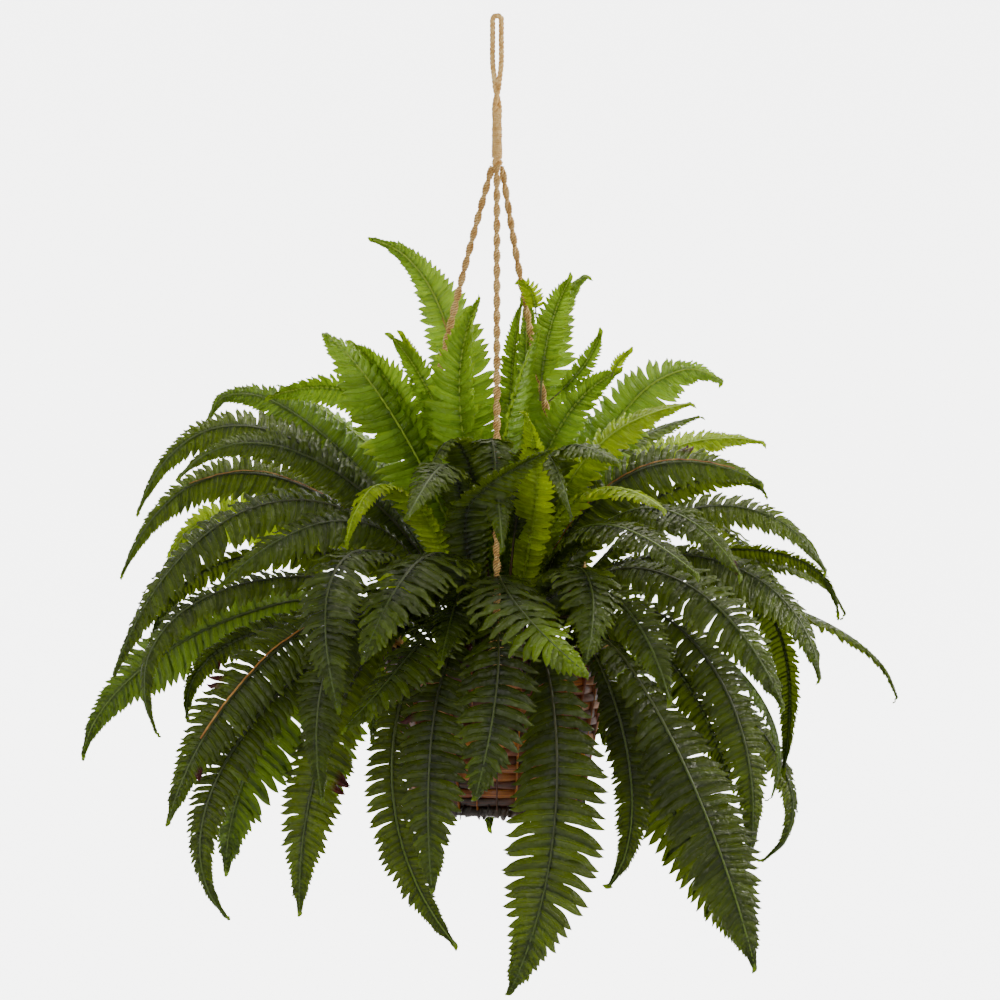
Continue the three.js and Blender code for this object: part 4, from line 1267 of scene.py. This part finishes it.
class FERN_OT_hoops(bpy.types.Operator):
    """Builds the wrapped rim and the dark wrapped foot of the basket"""

    bl_idname = "fern.hoops"
    bl_label = "Build rim and foot"

    def execute(self, context):
        self.wrap("cane_rim", "rim_hoop", "cane", RIM_RADIUS, RIM_Z - RIM_HEIGHT / 2, 0.0056, 0.0070, 78)
        radius, middle = BASE_RADIUS - 0.0025, BASKET_BOTTOM_Z + 0.006
        self.wrap("cane_foot", "foot_hoop", "cane_dark", radius, middle, 0.0045, 0.0062, 60)
        return {"FINISHED"}

    def wrap(self, name, node, slot, radius, middle, wide, high, wraps):
        """A hoop with a flat strip wound round it"""
        steps = 16
        line = []
        for i in range(wraps * steps):
            turn = tau * i / steps
            t = i / (wraps * steps)
            line.append(polar(radius + wide * cos(turn), 360 * t, middle + high * sin(turn)))
        details = {"look": cane(slot), "closed": True}
        width = tau * radius / wraps * HALF_STRIP
        hoop = strand(name, [(line, 1.0)], 0.0026, 0.0006, width, Sides=6, **details)
        line = [polar(radius, 3.75 * k, middle) for k in range(96)]
        core = strand("core", [(line, 1.0)], 0.008, wide * 0.93, high * 0.93, Sides=12, **details)
        settle(slot, [node], hoop, core)


class FERN_OT_pot(bpy.types.Operator):
    """Builds the pot inside the basket and the soil in it"""

    bl_idname = "fern.pot"
    bl_label = "Build pot and soil"

    def execute(self, context):
        outline = [
            (0, POT_BOTTOM_Z + POT_WALL),
            (POT_BASE_RADIUS - POT_WALL, POT_BOTTOM_Z + POT_WALL),
            (POT_TOP_RADIUS - POT_WALL, POT_TOP_Z - 0.0004),
            (POT_TOP_RADIUS - 0.0012, POT_TOP_Z),
            (POT_TOP_RADIUS - 0.0002, POT_TOP_Z - 0.0006),
            (POT_TOP_RADIUS - 0.0004, POT_TOP_Z - 0.008),
            (POT_TOP_RADIUS - 0.0030, POT_TOP_Z - 0.009),
            (POT_BASE_RADIUS, POT_BOTTOM_Z + 0.0008),
            (POT_BASE_RADIUS - 0.001, POT_BOTTOM_Z),
            (0, POT_BOTTOM_Z),
        ]
        pot = lathe("nursery_pot", outline, 96)
        pot.data.materials.append(finish("pot", pot_look))
        pot.data.shade_smooth()
        pot.data.set_sharp_from_angle(angle=radians(35))
        settle("pot", ["inner_pot"], pot)

        outline = [(SOIL_CROWN_RADIUS * k / 14, SOIL_CROWN_Z) for k in range(15)]
        outline += [(0.104, -0.739), (0.1085, -0.7465), (0.1075, -0.76), (0.084, -0.886), (0, -0.886)]
        soil = lathe("compost", outline, 72)
        for vert in soil.data.vertices:
            if vert.co.z > -0.742:
                vert.co.z += noise.noise(vert.co * 70) * 0.004 + noise.noise(vert.co * 220) * 0.0018 - 0.001
        crumbs = bpy.data.collections.new("crumbs")
        for i in range(4):
            build = bmesh.new()
            bmesh.ops.create_icosphere(build, subdivisions=2, radius=0.0026)
            for vert in build.verts:
                vert.co *= 1 + 0.45 * noise.noise(vert.co * 500 + Vector((i * 7, 0, 0)))
                vert.co.z *= 0.7
            mesh = bpy.data.meshes.new(f"crumb_{i}")
            build.to_mesh(mesh)
            build.free()
            crumbs.objects.link(bpy.data.objects.new(f"crumb_{i}", mesh))
        spread = {"Density": 2500.0, "Smallest": 0.3, "Largest": 1.0, "Seed": random.Random(41).randrange(99)}
        run_nodes(soil, "Scatter", Crumbs=crumbs, Material=finish("soil", soil_look), **spread)
        remove_shapes(crumbs)
        settle("soil", ["soil"], soil)
        return {"FINISHED"}


# ---- Stage


class StageSettings(bpy.types.PropertyGroup):
    floor_z: setting("Floor", "Height of the studio floor", -2.4, **METRES)
    top: setting("Top light", "Power of the light above and behind", 46.0, unit="POWER")
    side: setting("Side light", "Power of the light at the right", 78.0, unit="POWER")
    fill: setting("Fill light", "Power of the soft light in front", 46.0, unit="POWER")
    world: setting("Surround", "Brightness of the white surround", 0.08)
    # Painted light: how strongly the paper glows of itself behind the plant
    glow: setting("Paper glow", "Light that comes through the paper", 5.0)


class FERN_OT_stage(bpy.types.Operator):
    """Sets up the camera, the pale seamless floor and the soft studio lights"""

    bl_idname = "fern.stage"
    bl_label = "Set up stage"

    def execute(self, context):
        props = context.scene.fern_stage
        camera = bpy.data.objects.new("camera", bpy.data.cameras.new("camera"))
        camera.data.sensor_width = 36
        camera.data.lens = 100.17
        camera.location = (0.00345, -3.2, -0.554)
        camera.rotation_euler = (radians(90), 0, 0)
        context.scene.collection.objects.link(camera)
        context.scene.camera = camera

        # A round floor that curves up into a wall on all sides, well below the hanging plant
        turns = [pi / 24 * k for k in range(1, 13)]
        profile = [(0, 0.0), (0.4, 0.0), (3.8, 0.0)]
        profile += [(3.8 + 1.2 * sin(turn), 1.2 - 1.2 * cos(turn)) for turn in turns] + [(5.0, 5.2)]
        floor = lathe("studio_floor", [(radius, props.floor_z + z) for radius, z in profile], 96)
        # The paper's finish glows behind the plant: painted light from a surface that is no lamp
        floor.data.materials.append(finish("studio_paper", paper_look, props.glow))
        floor.data.shade_smooth()

        self.area("top_light", (0.1, 0.9, 1.3), (0, 0, -0.6), 1.5, props.top)
        self.area("side_light", (2.4, 0.1, 0.35), (0.1, 0, -0.65), 1.3, props.side)
        self.area("fill_light", (-1.4, -2.8, 0.4), (0, 0, -0.55), 1.8, props.fill)
        world = bpy.data.worlds.new("studio")
        world.use_nodes = True
        world.node_tree.nodes["Background"].inputs["Color"].default_value = (1, 1, 1, 1)
        world.node_tree.nodes["Background"].inputs["Strength"].default_value = props.world
        context.scene.world = world
        return {"FINISHED"}

    def area(self, name, place, target, size, power):
        light = bpy.data.lights.new(name, "AREA")
        light.size = size
        light.energy = power
        light.color = (1.0, 0.95, 0.84)
        obj = bpy.data.objects.new(name, light)
        obj.location = place
        obj.rotation_euler = (Vector(target) - Vector(place)).to_track_quat("-Z", "Y").to_euler()
        bpy.context.scene.collection.objects.link(obj)


# ---- Add-on -------------------------------------------------------------------------------------------------


class FERN_PT_panel(bpy.types.Panel):
    bl_idname = "FERN_PT_panel"
    bl_label = "Boston fern"
    bl_space_type = "VIEW_3D"
    bl_region_type = "UI"
    bl_category = "Fern"

    def draw(self, context):
        layout = self.layout
        for group in SETTINGS:
            settings = getattr(context.scene, group)
            for name in settings.__annotations__:
                layout.prop(settings, name)
        for operator in OPERATORS:
            layout.operator(operator.bl_idname)


OPERATORS = (
    FERN_OT_stage,
    FERN_OT_hanger,
    FERN_OT_ropes,
    FERN_OT_rim_knots,
    FERN_OT_basket,
    FERN_OT_hoops,
    FERN_OT_pot,
    FERN_OT_runners,
    FERN_OT_fronds,
)
SETTINGS = {
    "fern_fronds": FrondSettings,
    "fern_ropes": RopeSettings,
    "fern_basket": BasketSettings,
    "fern_stage": StageSettings,
}


def register():
    for kind in (*SETTINGS.values(), *OPERATORS, FERN_PT_panel):
        bpy.utils.register_class(kind)
    for name, settings in SETTINGS.items():
        setattr(bpy.types.Scene, name, bpy.props.PointerProperty(type=settings))


def unregister():
    for name in SETTINGS:
        delattr(bpy.types.Scene, name)
    for kind in (FERN_PT_panel, *reversed(OPERATORS), *SETTINGS.values()):
        bpy.utils.unregister_class(kind)


def main():
    register()
    for operator in OPERATORS:
        group, name = operator.bl_idname.split(".")
        getattr(getattr(bpy.ops, group), name)()


if __name__ == "__main__":
    main()
